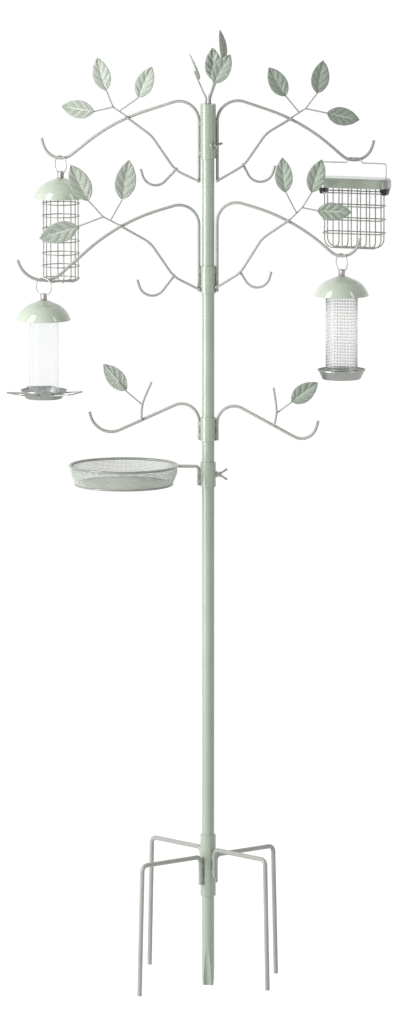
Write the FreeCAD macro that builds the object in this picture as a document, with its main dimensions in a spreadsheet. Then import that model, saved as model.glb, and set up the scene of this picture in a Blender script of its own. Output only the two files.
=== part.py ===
import FreeCAD, Part
import math
import os

import Sketcher

# A garden bird feeding station: a pole on a four-leg spiked base, three tiers of leaf branches and hooks,
# a mesh tray and four hanging feeders. Millimetres, +Z up, origin on the pole axis at the spike's tip.

Vector = FreeCAD.Vector
Rotation = FreeCAD.Rotation
Placement = FreeCAD.Placement
UP = Vector(0, 0, 1)

doc = FreeCAD.newDocument("bird_feeding_station")
sheet = doc.addObject("Spreadsheet::Sheet", "sizes")

SIZES = [
    ("pole_radius", 12.5, "outside of the pole tube"),
    ("pole_wall", 1.2, "wall of the pole tube"),
    ("lower_joint", 535, "height where the middle tube leaves the lower one"),
    ("upper_joint", 1155, "height where the top tube leaves the middle one"),
    ("spigot_length", 45, "narrowed end that pushes into the tube below"),
    ("spigot_fit", 0.05, "radial gap round a narrowed end"),
    ("crimp_height", 77, "height of the crimped spike"),
    ("spike_tip_radius", 11.5, "radius of the spike at its tip"),
    ("spike_taper", 15, "height of the taper at the tip"),
    ("spike_plug", 8, "closed length of tube above the crimp"),
    ("flute_radius", 9, "radius of the three pressed flutes"),
    ("flute_depth", 8, "depth of a flute at the tip"),
    ("flute_turn", -95, "turn of the flutes from the front, degrees"),
    ("weld_bite", 0.05, "depth that welded pieces share"),
    ("collar_fit", 0.08, "radial gap between a collar and the pole"),
    ("collar_wall", 2.9, "wall of a collar"),
    ("boss_radius", 6, "welded nut on a collar"),
    ("boss_length", 4, "how far the nut stands off the collar"),
    ("screw_radius", 3, "shank of a wing screw"),
    ("screw_fit", 0.05, "radial gap round a screw, and at its point"),
    ("screw_neck", 1.5, "shank seen between the nut and the wings"),
    ("hub_radius", 5, "hub of a wing screw"),
    ("hub_length", 6, "length of the hub"),
    ("wing_reach", 11, "outer corner of a wing from the screw axis"),
    ("wing_rise", 12, "outer corner of a wing past the hub"),
    ("wing_root", 5, "width of a wing at the hub"),
    ("wing_tip", 4.4, "width of a wing at its round end"),
    ("wing_thickness", 3, "thickness of a wing"),
    ("leg_radius", 4.5, "leg rod"),
    ("leg_reach", 176, "pole axis to the bend over a leg"),
    ("leg_foot_reach", 184, "pole axis to the foot of a leg"),
    ("leg_drop", 262, "height of a leg from its foot to its arm"),
    ("leg_stub", 56, "length welded along the collars"),
    ("leg_bend", 12, "bend radius of a leg rod"),
    ("leg_turn", 46, "angle of a leg from the left or right, degrees"),
    ("leg_step", 15, "height between the two pairs of legs"),
    ("lower_leg_collar_height", 182, "bottom of the lower leg collar"),
    ("lower_leg_collar_length", 72, "length of the lower leg collar"),
    ("upper_leg_collar_length", 52, "length of the upper leg collar"),
    ("sleeve_top", 1774, "top of the sleeve on the pole's end"),
    ("sleeve_length", 108, "length of the sleeve"),
    ("sleeve_screw_height", 26, "wing screw above the sleeve's lower edge"),
    ("sleeve_screw_turn", -52, "direction of the sleeve's wing screw, degrees"),
    ("sleeve_screw_roll", 76, "turn of that wing screw about its own axis, degrees"),
    ("cap_thickness", 3, "cap that closes the sleeve and rests on the pole"),
    ("rest_gap", 0.05, "gap where a moving piece rests on another"),
    ("sleeve_run", 48, "arm rods below the sleeve's lower edge"),
    ("middle_collar_height", 1397, "bottom of the middle collar"),
    ("middle_collar_length", 54, "length of the middle collar"),
    ("middle_run", -3, "arm rods below the middle collar's lower edge"),
    ("perch_collar_height", 1101, "bottom of the perch collar"),
    ("perch_collar_length", 47, "length of the perch collar"),
    ("perch_run", -1, "perch rods below the perch collar's lower edge"),
    ("back_screw_turn", 90, "direction of the wing screws at the back, degrees"),
    ("tray_collar_height", 1009, "bottom of the tray collar"),
    ("tray_collar_length", 49, "length of the tray collar"),
    ("tray_screw_turn", 0, "direction of the tray's wing screw, degrees"),
    ("upper_arm_turn", 8, "upper arms set back from straight, degrees"),
    ("middle_arm_turn", -10, "middle arms set forward from straight, degrees"),
    ("arm_radius", 3, "main arm and perch rods"),
    ("branch_radius", 2.5, "branch rods and small hooks"),
    ("twig_radius", 1.5, "twig and leaf stem wire"),
    ("corner_bend", 40, "bend at the top of an arm"),
    ("arm_sweep", 380, "long curve of an arm down to its hook"),
    ("hook_tip_turn", 74, "slope of a hook's end, degrees"),
    ("branch_bend", 60, "bends of a branch rod"),
    ("branch_overlap", 3, "branch and twig ends past the arm they are welded to"),
    ("small_hook_bend", 27, "radius of a small hook"),
    ("small_hook_tail", 13, "straight end of a small hook"),
    ("fork_share", 0.6, "place of the inner stem between the arm and the fork"),
    ("stem_bend", 14, "bends of twig and stem wire"),
    ("leaf_sheet", 1, "leaf sheet thickness"),
    ("leaf_fold", 11, "fold of a leaf along its midrib, degrees"),
    ("leaf_lap", 22, "stem welded along the back of its leaf"),
    ("leaf_widest_share", 0.43, "place of the widest part along a leaf"),
    ("perch_turn", -9, "turn of the perch rods from straight, degrees"),
    ("perch_corner_rise", 91.5, "corner of a perch rod above its lower end"),
    ("perch_corner_bend", 35, "bend at the top of a perch rod"),
    ("perch_twig_radius", 2.2, "upright twig on a perch rod"),
    ("perch_twig_reach", 135, "foot of the upright from the pole axis"),
    ("perch_twig_height", 77, "height of the upright"),
    ("perch_twig_bend", 90, "bend of the upright"),
    ("perch_leaf_length", 67, "perch leaf"),
    ("perch_leaf_width", 36, "perch leaf"),
    ("finial_stem_radius", 1.8, "stems on the cap"),
    ("finial_gather", 4.2, "foot of a stem from the pole axis"),
    ("finial_straight", 12, "upright foot of a stem"),
    ("finial_leaf_length", 66, "finial leaf"),
    ("finial_leaf_width", 35, "finial leaf"),
    ("tray_reach", 168.5, "pole axis to the middle of the tray"),
    ("tray_rim_radius", 107.5, "middle line of the tray's hoop"),
    ("hoop_wire", 2.5, "hoop rod radius"),
    ("tray_arm_height", 40, "tray arm above the collar's lower edge"),
    ("tray_arm_stub", 38, "arm rod welded along the collar"),
    ("tray_arm_radius", 3.2, "tray arm rod"),
    ("tray_arm_bend", 7, "bend of the tray arm"),
    ("tray_floor_radius", 96, "edge of the tray's floor"),
    ("tray_depth", 37, "hoop to floor edge"),
    ("tray_crown", 4, "how far the floor bulges down"),
    ("tray_wall_bulge", 120, "radius of the tray's rounded wall"),
    ("mesh_sheet", 1.2, "thickness of the mesh bowl"),
    ("mesh_bar", 5, "bars between the openings of the bowl"),
    ("mesh_gap", 17, "width of the openings of the bowl"),
    ("mesh_band", 6, "closed band at the top and foot of the bowl's wall"),
    ("ring_radius", 17.8, "middle line of a hanging ring"),
    ("ring_wire", 1.2, "hanging ring wire radius"),
    ("ring_turn", 52, "turn of a ring from square to its hook, degrees"),
    ("hang_gap", 0.3, "gap between a ring or handle and its hook"),
    ("ferrule_radius", 6.5, "ferrule that holds the ring"),
    ("ferrule_height", 13, "ferrule above the lid"),
    ("ferrule_cover", 4.5, "ferrule above the middle of the ring's wire"),
    ("ferrule_pin", 3, "shank of the ferrule through the lid"),
    ("ring_fit", 0.1, "gap round the ring in its ferrule"),
    ("lid_radius", 54, "rim of a spun lid"),
    ("lid_height", 39, "height of a spun lid"),
    ("lid_shoulder_radius", 24, "where the lid's cone turns into its dome"),
    ("lid_shoulder_height", 32.5, "height of that place over the rim"),
    ("lid_neck_radius", 8, "flat under the ferrule"),
    ("lid_dome", 48, "radius of the dome's profile"),
    ("lid_sheet", 1, "lid sheet thickness"),
    ("socket_gap", 0.35, "gap between a lid's socket and what turns in it"),
    ("socket_wall", 1.4, "wall of the socket under a lid"),
    ("socket_height", 5, "lower edge of the socket above the rim"),
    ("lug_height", 10, "underside of a twist lug above the rim"),
    ("lug_thickness", 3, "height of a twist lug"),
    ("lug_width", 6, "width of a twist lug"),
    ("lug_root", 0.5, "depth of a lug in the wall that carries it"),
    ("lug_past", 0.8, "lug past the socket wall"),
    ("slot_play", 0.6, "room over a lug in its slot"),
    ("slot_turn", 48, "length of a twist slot, degrees"),
    ("slot_mouth", 16, "width of the slot's way in, degrees"),
    ("body_top", 20, "top of a tube or cage above the lid's rim"),
    ("cage_radius", 35, "middle line of the cage's upright wires"),
    ("cage_wire", 1.1, "cage wire radius"),
    ("cage_drop", 168, "lid rim to the cage's floor"),
    ("cage_pitch", 25, "height between the cage's rings"),
    ("cage_corner", 6, "bend at the foot of an upright wire"),
    ("cage_hub", 10, "ring at the middle of the cage's floor"),
    ("band_height", 14, "sheet band at the top of a cage or mesh tube"),
    ("tube_radius", 30, "outside of the clear tube"),
    ("tube_wall", 1.6, "wall of the clear tube"),
    ("tube_drop", 156, "lid rim to the foot of the clear tube"),
    ("port_width", 16, "seed ports at the foot of the tube"),
    ("port_height", 14, "seed ports at the foot of the tube"),
    ("dish_sheet", 1, "dish sheet thickness"),
    ("spigot_height", 6, "upstand inside the foot of a tube"),
    ("foot_fit", 0.1, "gap between a tube and its upstand"),
    ("cone_radius", 4, "flat top of the seed cone"),
    ("cone_height", 14, "seed cone above the dish floor"),
    ("lip_width", 1.6, "rolled edge of a dish"),
    ("lip_height", 1.8, "rolled edge of a dish"),
    ("seed_dish_radius", 44.5, "seed dish under its rolled edge"),
    ("seed_dish_floor", 36, "edge of the seed dish's floor"),
    ("seed_dish_depth", 15, "height of the seed dish"),
    ("loop_wire", 1.25, "perch loop wire radius"),
    ("loop_half_width", 28, "half of a perch loop's width"),
    ("loop_reach", 74, "outer bar of a perch loop from the feeder's axis"),
    ("loop_root", 29, "inner ends of a perch loop from the feeder's axis"),
    ("loop_height", 9, "inner ends of a perch loop above the dish's base"),
    ("loop_rise", 5, "outer bar above the inner ends"),
    ("loop_bend", 9, "bends of a perch loop"),
    ("nut_mesh_radius", 32.5, "outside of the nut feeder's mesh tube"),
    ("nut_mesh_wire", 1.6, "thickness of the mesh wires"),
    ("nut_mesh_drop", 165, "lid rim to the foot of the mesh tube"),
    ("nut_mesh_pitch", 12, "height between the mesh rings"),
    ("nut_dish_radius", 46, "nut dish under its rolled edge"),
    ("nut_dish_floor", 38, "edge of the nut dish's floor"),
    ("nut_dish_depth", 17, "height of the nut dish"),
    ("suet_turn", -14, "turn of the suet feeder from the front, degrees"),
    ("handle_wire", 1.25, "suet handle wire radius"),
    ("handle_half", 66, "suet handle leg from the middle"),
    ("handle_bar_drop", 10, "handle bar below its hump"),
    ("hump_top", 11, "half of the hump's top"),
    ("hump_foot", 17, "half of the hump's foot"),
    ("handle_bend", 4, "bends of the handle"),
    ("suet_lid_drop", 54, "hook to the lower edge of the suet lid"),
    ("suet_lid_half", 73.4, "half length of the suet lid"),
    ("suet_lid_half_width", 30, "half width of the suet lid"),
    ("suet_lid_height", 19, "height of the suet lid"),
    ("suet_lid_corner", 22, "plan corners of the suet lid"),
    ("suet_lid_crown", 7, "rounded upper edge of the suet lid"),
    ("suet_lid_sheet", 1, "suet lid sheet thickness"),
    ("leg_hole_gap", 0.4, "gap round a handle leg in the lid"),
    ("suet_half", 61, "half length of the suet cage, middle of the wire"),
    ("suet_half_depth", 22, "half depth of the suet cage, middle of the wire"),
    ("suet_wire", 1.2, "suet cage wire radius"),
    ("suet_corner", 9, "plan corners of the suet cage"),
    ("suet_drop", 121, "lower edge of the lid to the cage's floor wires"),
    ("suet_pitch", 27, "height between the suet cage's loops"),
    ("suet_floor_bend", 18, "bend of the long wires at the floor"),
    ("suet_bar_bend", 8, "bend of the short wires at the floor"),
    ("suet_bar_pitch", 19, "distance between the short wires"),
    ("suet_end_half", 10, "long wires from the middle of the cage"),
    ("clip_depth", 28, "front to back size of a clip"),
    ("clip_height", 14, "height of a clip"),
    ("clip_cover", 4, "clip past the wires that it holds"),
    ("clip_fit", 0.05, "gap round the wires in a clip"),
]

# Points of an arm in its own upright plane: reach from the pole axis, and rise above its rod's lower end.
# The bend is measured back from the hook. Each leaf has its base point and its slope in degrees.
ARM_POINTS = {
    "upper_left": {
        "corner_rise": 176,
        "bend_back": 106.4, "bend_rise": 116.5,
        "hook_reach": 300, "hook_rise": 41.6, "hook_bend": 37, "hook_tail": 13,
        "cross_reach": 162.8,
        "branch_foot": 2,
        "branch_low_reach": 65.9, "branch_low_rise": 23.1,
        "branch_high_reach": 113.9, "branch_high_rise": 90.7,
        "small_reach": 107.2, "small_rise": -8.5,
        "fork_reach": 194, "fork_rise": 145,
        "end_leaf_reach": 208, "end_leaf_rise": 178.5, "end_leaf_turn": 75,
        "inner_leaf_reach": 141, "inner_leaf_rise": 166, "inner_leaf_turn": 114,
        "outer_leaf_reach": 231.5, "outer_leaf_rise": 136, "outer_leaf_turn": 8,
        "leaf_length": 67, "leaf_width": 36,
    },
    "upper_right": {
        "corner_rise": 178,
        "bend_back": 104.2, "bend_rise": 120.3,
        "hook_reach": 291, "hook_rise": 42.1, "hook_bend": 37, "hook_tail": 13,
        "cross_reach": 162.8,
        "branch_foot": 3.5,
        "branch_low_reach": 70.7, "branch_low_rise": 33.6,
        "branch_high_reach": 115.1, "branch_high_rise": 97.3,
        "small_reach": 103.5, "small_rise": 0.1,
        "fork_reach": 194, "fork_rise": 145,
        "end_leaf_reach": 217.5, "end_leaf_rise": 175.5, "end_leaf_turn": 80,
        "inner_leaf_reach": 154, "inner_leaf_rise": 170.6, "inner_leaf_turn": 120,
        "outer_leaf_reach": 236, "outer_leaf_rise": 136, "outer_leaf_turn": -12,
        "leaf_length": 66, "leaf_width": 36,
    },
    "middle_left": {
        "corner_rise": 186,
        "bend_back": 150.6, "bend_rise": 140.6,
        "hook_reach": 328, "hook_rise": 26.1, "hook_bend": 53, "hook_tail": 3,
        "cross_reach": 173.4,
        "branch_foot": 4.5,
        "branch_low_reach": 69.3, "branch_low_rise": 30.5,
        "branch_high_reach": 116, "branch_high_rise": 99.2,
        "small_reach": 111.7, "small_rise": -7.1,
        "fork_reach": 209, "fork_rise": 151,
        "end_leaf_reach": 238.5, "end_leaf_rise": 183.5, "end_leaf_turn": 64,
        "inner_leaf_reach": 171.5, "inner_leaf_rise": 185, "inner_leaf_turn": 100,
        "outer_leaf_reach": 260, "outer_leaf_rise": 132, "outer_leaf_turn": -16,
        "leaf_length": 80, "leaf_width": 42,
    },
    "middle_right": {
        "corner_rise": 190.6,
        "bend_back": 97.2, "bend_rise": 149.5,
        "hook_reach": 272.5, "hook_rise": 78.3, "hook_bend": 36, "hook_tail": 11,
        "cross_reach": 163.3,
        "branch_foot": 9,
        "branch_low_reach": 66.9, "branch_low_rise": 39.2,
        "branch_high_reach": 111.4, "branch_high_rise": 109.3,
        "small_reach": 99.6, "small_rise": 10.7,
        "fork_reach": 191, "fork_rise": 172,
        "end_leaf_reach": 210.5, "end_leaf_rise": 203, "end_leaf_turn": 72,
        "inner_leaf_reach": 158, "inner_leaf_rise": 202, "inner_leaf_turn": 95,
        "outer_leaf_reach": 223, "outer_leaf_rise": 167, "outer_leaf_turn": -1,
        "leaf_length": 69, "leaf_width": 36,
    },
    "perch_left": {
        "hook_reach": 199.7, "hook_rise": 10.8, "hook_bend": 43, "hook_tail": 8,
        "twig_bow": 0.5, "twig_bow_rise": 30, "twig_lean": 20.5,
        "leaf_reach": 168, "leaf_rise": 94.2, "leaf_turn": 48,
        "leaf_length": 69, "leaf_width": 36,
    },
    "perch_right": {
        "hook_reach": 189.6, "hook_rise": 8.6, "hook_bend": 32, "hook_tail": 14,
        "twig_bow": 7.5, "twig_bow_rise": 26, "twig_lean": 0.5,
        "leaf_reach": 171.2, "leaf_rise": 81.9, "leaf_turn": 37,
        "leaf_length": 66, "leaf_width": 36,
    },
}

# Finial leaves: the place of each stem's foot round the pole axis in degrees, the leaf's base to the right,
# to the back and above the cap, the direction and slope of its midrib and the direction it faces, in degrees.
FINIAL_LEAVES = {
    "left": {"foot": 180, "right": -21, "back": 2, "rise": 48, "direction": 116, "slope": 42, "face": -18},
    "front": {"foot": -60, "right": 12, "back": -9, "rise": 42, "direction": 0, "slope": 60, "face": -90},
    "back": {"foot": 76, "right": 12, "back": 11, "rise": 45, "direction": 180, "slope": 87, "face": -90},
    "tall": {"foot": 8, "right": 28.5, "back": 1, "rise": 81, "direction": 180, "slope": 83, "face": -19},
}

# Counts
LEAF_SIDES = (1, -1)
CAGE_UPRIGHTS = 8
CAGE_RINGS = 7
NUT_UPRIGHTS = 16
NUT_RINGS = 13
TRAY_WINDOWS = 28
SEED_PORTS = 3
SUET_LOOPS = 5
SUET_BARS = 5
TWIST_LUGS = 2
FLUTES = 3


class Size:
    """A size of the sheet, or a sum or product of them: its expression and its value."""

    def __init__(self, text, value):
        self.text = text
        self.value = value

    def __float__(self):
        return float(self.value)

    def __add__(self, other):
        other = as_size(other)
        return Size(f"({self.text} + {other.text})", self.value + other.value)

    def __radd__(self, other):
        return as_size(other) + self

    def __sub__(self, other):
        other = as_size(other)
        return Size(f"({self.text} - {other.text})", self.value - other.value)

    def __rsub__(self, other):
        return as_size(other) - self

    def __mul__(self, other):
        other = as_size(other)
        return Size(f"({self.text} * {other.text})", self.value * other.value)

    def __rmul__(self, other):
        return as_size(other) * self

    def __truediv__(self, other):
        other = as_size(other)
        return Size(f"({self.text} / {other.text})", self.value / other.value)

    def __neg__(self):
        return Size(f"(-1 * {self.text})", -self.value)

    def root(self):
        return Size(f"sqrt({self.text})", math.sqrt(self.value))


def as_size(value):
    return value if isinstance(value, Size) else Size(repr(value), value)


class Sizes:
    """The sheet's cells by name."""


def fill_sheet():
    rows = list(SIZES)
    for arm, points in ARM_POINTS.items():
        rows += [(f"{arm}_{name}", value, "arm point") for name, value in points.items()]
    for leaf, points in FINIAL_LEAVES.items():
        rows += [(f"finial_{leaf}_{name}", value, "finial leaf") for name, value in points.items()]
    named = Sizes()
    for number, (name, value, note) in enumerate(rows, 1):
        sheet.set(f"A{number}", name)
        sheet.set(f"B{number}", str(value))
        sheet.setAlias(f"B{number}", name)
        sheet.set(f"C{number}", note)
        setattr(named, name, Size(f"sizes.{name}", value))
    doc.recompute()
    return named


S = fill_sheet()
nodes = []


def part_of(prefix, name):
    return getattr(S, f"{prefix}_{name}")


def keep(thing, place=None):
    """Marks a finished sub-part and gives it its place."""
    if place:
        thing.Placement = place
    nodes.append(thing)
    return thing


def bind(thing, **sizes):
    for name, size in sizes.items():
        thing.setExpression(name, as_size(size).text)
    return thing


def at_height(size, turn=0.0):
    return Placement(Vector(0, 0, float(size)), Rotation(UP, float(turn)))


# Sketches and solids

def point_of(corner):
    return Vector(float(corner[0]), float(corner[1]), 0)


def pin_point(sketch, side, end, corner):
    """Holds one end of a sketch line or arc at a corner given by two sizes."""
    for kind, axis, value in (("DistanceX", -2, corner[0]), ("DistanceY", -1, corner[1])):
        if isinstance(value, Size):
            rule = Sketcher.Constraint(kind, -1, 1, side, end, float(value))
            number = sketch.addConstraint(rule)
            sketch.setExpression(f"Constraints[{number}]", value.text)
        else:
            sketch.addConstraint(Sketcher.Constraint("PointOnObject", side, end, axis))


def arc_centre(start, end, radius):
    """Centre of the arc from start to end that turns left for a positive radius, right for a negative one."""
    half = (end - start) * 0.5
    left = Vector(-half.y, half.x, 0).normalize()
    rise = math.sqrt(radius * radius - half.Length * half.Length)
    return start + half + left * math.copysign(rise, radius)


def draw_outline(body, name, plane, corners, arcs=None):
    """A closed sketch through corners. arcs gives a round side's signed radius by its first corner."""
    arcs = arcs or {}
    sketch = body.newObject("Sketcher::SketchObject", name)
    support = [feature for feature in body.Origin.OriginFeatures if feature.Role == plane][0]
    sketch.AttachmentSupport = [(support, "")]
    sketch.MapMode = "FlatFace"
    ends = []
    for number, corner in enumerate(corners):
        start = point_of(corner)
        end = point_of(corners[(number + 1) % len(corners)])
        if number in arcs:
            radius = float(arcs[number])
            centre = arc_centre(start, end, radius)
            angles = [math.atan2(p.y - centre.y, p.x - centre.x) for p in (start, end)]
            if radius < 0:
                angles.reverse()
            circle = Part.Circle(centre, UP, abs(radius))
            side = sketch.addGeometry(Part.ArcOfCircle(circle, *angles), False)
            ends.append((side, 1, 2) if radius > 0 else (side, 2, 1))
        else:
            side = sketch.addGeometry(Part.LineSegment(start, end), False)
            ends.append((side, 1, 2))
    for number, (side, first, last) in enumerate(ends):
        after, after_first, _ = ends[(number + 1) % len(ends)]
        sketch.addConstraint(Sketcher.Constraint("Coincident", side, last, after, after_first))
    for (side, first, _), corner in zip(ends, corners):
        pin_point(sketch, side, first, corner)
    for number, radius in arcs.items():
        size = radius if float(radius) > 0 else -radius
        rule = sketch.addConstraint(Sketcher.Constraint("Radius", ends[number][0], float(size)))
        sketch.setExpression(f"Constraints[{rule}]", size.text)
    return sketch


def turned(label, corners, arcs=None):
    """A body of revolution about Z from a profile of radius and height pairs."""
    body = doc.addObject("PartDesign::Body", label)
    sketch = draw_outline(body, f"{label}_profile", "XZ_Plane", corners, arcs)
    feature = body.newObject("PartDesign::Revolution", f"{label}_turned")
    feature.Profile = sketch
    feature.ReferenceAxis = (sketch, ["V_Axis"])
    feature.Angle = 360
    return body


def tube(label, outer, inner, length, foot=0.0):
    top = length if isinstance(foot, float) else foot + length
    low = 0 if isinstance(foot, float) else foot
    return turned(label, [(inner, low), (outer, low), (outer, top), (inner, top)])


def six_sided_ring(label, middle, wire, height=None):
    """A closed wire ring with a six-sided section."""
    slant = wire * 0.5
    flat = wire * (math.sqrt(3) / 2)
    sides = [(slant, -flat), (wire, 0.0), (slant, flat), (-slant, flat), (-wire, 0.0), (-slant, -flat)]
    level = height if height is not None else as_size(0.0)
    return turned(label, [(middle + across, level + up) for across, up in sides])


def cylinder(label, radius, height, place=None):
    solid = doc.addObject("Part::Cylinder", label)
    bind(solid, Radius=radius, Height=height)
    if place:
        solid.Placement = place
    return solid


def box(label, length, width, height, place):
    solid = doc.addObject("Part::Box", label)
    bind(solid, Length=length, Width=width, Height=height)
    solid.Placement = place
    return solid


def cut(label, base, tools):
    group = tools[0]
    if len(tools) > 1:
        group = fuse(f"{label}_tools", tools)
    solid = doc.addObject("Part::Cut", label)
    solid.Base = base
    solid.Tool = group
    return solid


def fuse(label, solids):
    solid = doc.addObject("Part::MultiFuse", label)
    solid.Shapes = solids
    return solid


def gather(label, solids):
    """Separate solids that share one sub-part."""
    group = doc.addObject("Part::Compound", label)
    group.Links = solids
    return group


# Bent rods

def flat_point(reach, rise):
    return Vector(float(reach), 0, float(rise))


def heading(degrees):
    turn = math.radians(float(degrees))
    return Vector(math.cos(turn), 0, math.sin(turn))


def bend_middle(before, corner, after, radius):
    """Middle of the arc that rounds a corner."""
    back = (before - corner).normalize()
    ahead = (after - corner).normalize()
    half = back.getAngle(ahead) / 2
    return corner + (back + ahead).normalize() * (radius / math.sin(half) - radius)


def bent_edges(points, bends):
    """Straight runs through points with an arc of the given radius at each inner point."""
    edges = []
    start = points[0]
    for before, corner, after, radius in zip(points, points[1:], points[2:], bends):
        back = (before - corner).normalize()
        ahead = (after - corner).normalize()
        trim = radius / math.tan(back.getAngle(ahead) / 2)
        leave = corner + back * trim
        join = corner + ahead * trim
        edges.append(Part.LineSegment(start, leave).toShape())
        edges.append(Part.Arc(leave, bend_middle(before, corner, after, radius), join).toShape())
        start = join
    edges.append(Part.LineSegment(start, points[-1]).toShape())
    return edges


def hook_edges(points, bends, low, bend, tail):
    """Runs through points that lead into a round hook with a straight end. low is the hook's lowest point."""
    centre = low + UP * bend
    last = points[-1]
    to_centre = centre - last
    slope = math.degrees(math.atan2(to_centre.z, to_centre.x) - math.asin(bend / to_centre.Length))
    touch = last + heading(slope) * math.sqrt(to_centre.Length ** 2 - bend ** 2)
    tip_turn = float(S.hook_tip_turn)

    def on_hook(turn):
        return centre + heading(turn - 90) * bend

    edges = bent_edges(points + [touch], bends)
    tip = on_hook(tip_turn)
    edges.append(Part.Arc(touch, on_hook((slope + tip_turn) / 2), tip).toShape())
    edges.append(Part.LineSegment(tip, tip + heading(tip_turn) * tail).toShape())
    return edges


def at_reach(edges, reach):
    """The point of a route at a distance from the pole axis."""
    upright = Part.LineSegment(flat_point(reach, -S.sleeve_top), flat_point(reach, S.sleeve_top)).toShape()
    _, pairs, _ = Part.Wire(edges).distToShape(upright)
    return pairs[0][0]


def rod(label, edges, radius, place=None):
    """A round rod along a chain of edges."""
    route = doc.addObject("Part::Feature", f"{label}_route")
    route.Shape = Part.Wire(edges)
    first = edges[0]
    section = doc.addObject("Part::Circle", f"{label}_section")
    bind(section, Radius=radius)
    start = first.FirstParameter
    section.Placement = Placement(first.valueAt(start), Rotation(UP, first.tangentAt(start)))
    solid = doc.addObject("Part::Sweep", label)
    solid.Sections = [section]
    solid.Spine = (route, [f"Edge{number + 1}" for number in range(len(edges))])
    solid.Solid = True
    if place:
        solid.Placement = place
    return solid


# Leaves

def leaf_shape(length, width):
    """A pressed leaf from its base at the origin along X, folded up along the midrib."""
    wide = length * float(S.leaf_widest_share)
    half = width / 2
    sheet_up = Vector(0, 0, float(S.leaf_sheet))
    lift = math.tan(math.radians(float(S.leaf_fold))) * width
    edges = []
    for side in LEAF_SIDES:
        corner = Vector(wide, side * half, 0)
        for end in (0.0, length):
            span = end - wide
            radius = (span * span + half * half) / width
            centre = Vector(wide, side * (half - radius), 0)
            tip = Vector(end, 0, 0)
            middle = centre + ((corner - centre) + (tip - centre)).normalize() * radius
            edges.append(Part.Arc(corner, middle, tip).toShape())
    outline = Part.Face(Part.Wire(Part.__sortEdges__(edges)))
    column = outline.extrude(UP * (2 * lift + 2 * width))
    column.translate(UP * -width)
    fold = [Vector(0, -width, lift), Vector(0, 0, 0), Vector(0, width, lift)]
    corners = fold + [point - sheet_up for point in reversed(fold)]
    section = Part.Face(Part.makePolygon(corners + corners[:1]))
    return section.extrude(Vector(length, 0, 0)).common(column)


def leaf(label, length, width, base, along, facing):
    """Places a leaf whose midrib's back passes through base, along a direction and facing another."""
    thing = doc.addObject("Part::Feature", label)
    thing.Shape = leaf_shape(float(length), float(width))
    across = facing.cross(along)
    turn = FreeCAD.Matrix(
        along.x, across.x, facing.x, 0,
        along.y, across.y, facing.y, 0,
        along.z, across.z, facing.z, 0,
        0, 0, 0, 1,
    )
    thing.Placement = Placement(base + facing * float(S.leaf_sheet), Placement(turn).Rotation)
    return thing


# Pole and base

collar_bore = S.pole_radius + S.collar_fit
collar_outer = collar_bore + S.collar_wall
pole_bore = S.pole_radius - S.pole_wall
pole_top = S.sleeve_top - S.cap_thickness - S.rest_gap
spigot_radius = pole_bore - S.spigot_fit
spigot_bore = spigot_radius - S.pole_wall


def make_pole():
    plug = S.crimp_height + S.spike_plug
    blank = turned("spike_blank", [
        (0, 0), (S.spike_tip_radius, 0), (S.pole_radius, S.spike_taper), (S.pole_radius, S.lower_joint),
        (pole_bore, S.lower_joint), (pole_bore, plug), (0, plug),
    ])
    lean = math.atan2(float(S.flute_depth), float(S.crimp_height))
    flutes = []
    for number in range(FLUTES):
        turn = Rotation(UP, float(S.flute_turn) + number * 360 / FLUTES)
        foot = turn.multVec(Vector(float(S.pole_radius + S.flute_radius - S.flute_depth), 0, 0))
        tilt = turn.multiply(Rotation(Vector(0, 1, 0), math.degrees(lean)))
        below = tilt.multVec(UP) * float(S.flute_radius)
        length = S.crimp_height + 3 * S.flute_radius
        flutes.append(cylinder(f"flute_{number}", S.flute_radius, length, Placement(foot - below, tilt)))
    keep(cut("pole_lower_tube", blank, flutes))
    for label, low, high in (
        ("pole_middle_tube", S.lower_joint, S.upper_joint),
        ("pole_top_tube", S.upper_joint, pole_top),
    ):
        foot = low - S.spigot_length
        shoulder = low + S.pole_wall
        keep(turned(label, [
            (spigot_bore, foot), (spigot_radius, foot), (spigot_radius, low), (S.pole_radius, low),
            (S.pole_radius, high), (pole_bore, high), (pole_bore, shoulder), (spigot_bore, shoulder),
        ]))


def make_base():
    foot = S.lower_leg_collar_height
    top = foot + S.lower_leg_collar_length
    keep(tube("lower_leg_collar", collar_outer, collar_bore, S.lower_leg_collar_length, foot))
    keep(tube("upper_leg_collar", collar_outer, collar_bore, S.upper_leg_collar_length, top))
    run = collar_outer + S.leg_radius - S.weld_bite
    for label, turn, level in (
        ("front_left_leg", 180 + S.leg_turn, S.leg_drop),
        ("back_right_leg", S.leg_turn, S.leg_drop),
        ("front_right_leg", -S.leg_turn, S.leg_drop + S.leg_step),
        ("back_left_leg", 180 - S.leg_turn, S.leg_drop + S.leg_step),
    ):
        points = [
            flat_point(run, level - S.leg_stub), flat_point(run, level), flat_point(S.leg_reach, level),
            flat_point(S.leg_foot_reach, level - S.leg_drop),
        ]
        bend = float(S.leg_bend)
        place = Placement(Vector(), Rotation(UP, float(turn)))
        keep(rod(label, bent_edges(points, [bend, bend]), S.leg_radius), place)


# Collars and their wing screws

def round_axis(turn):
    """A level direction at an angle round the pole axis."""
    return Rotation(UP, float(turn)).multVec(Vector(1, 0, 0))


def pointing(turn, level, out=0.0):
    """A place at a height and distance from the pole axis whose Z points away from the pole."""
    away = round_axis(turn)
    return Placement(away * float(out) + UP * float(level), Rotation(UP, away))


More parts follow.
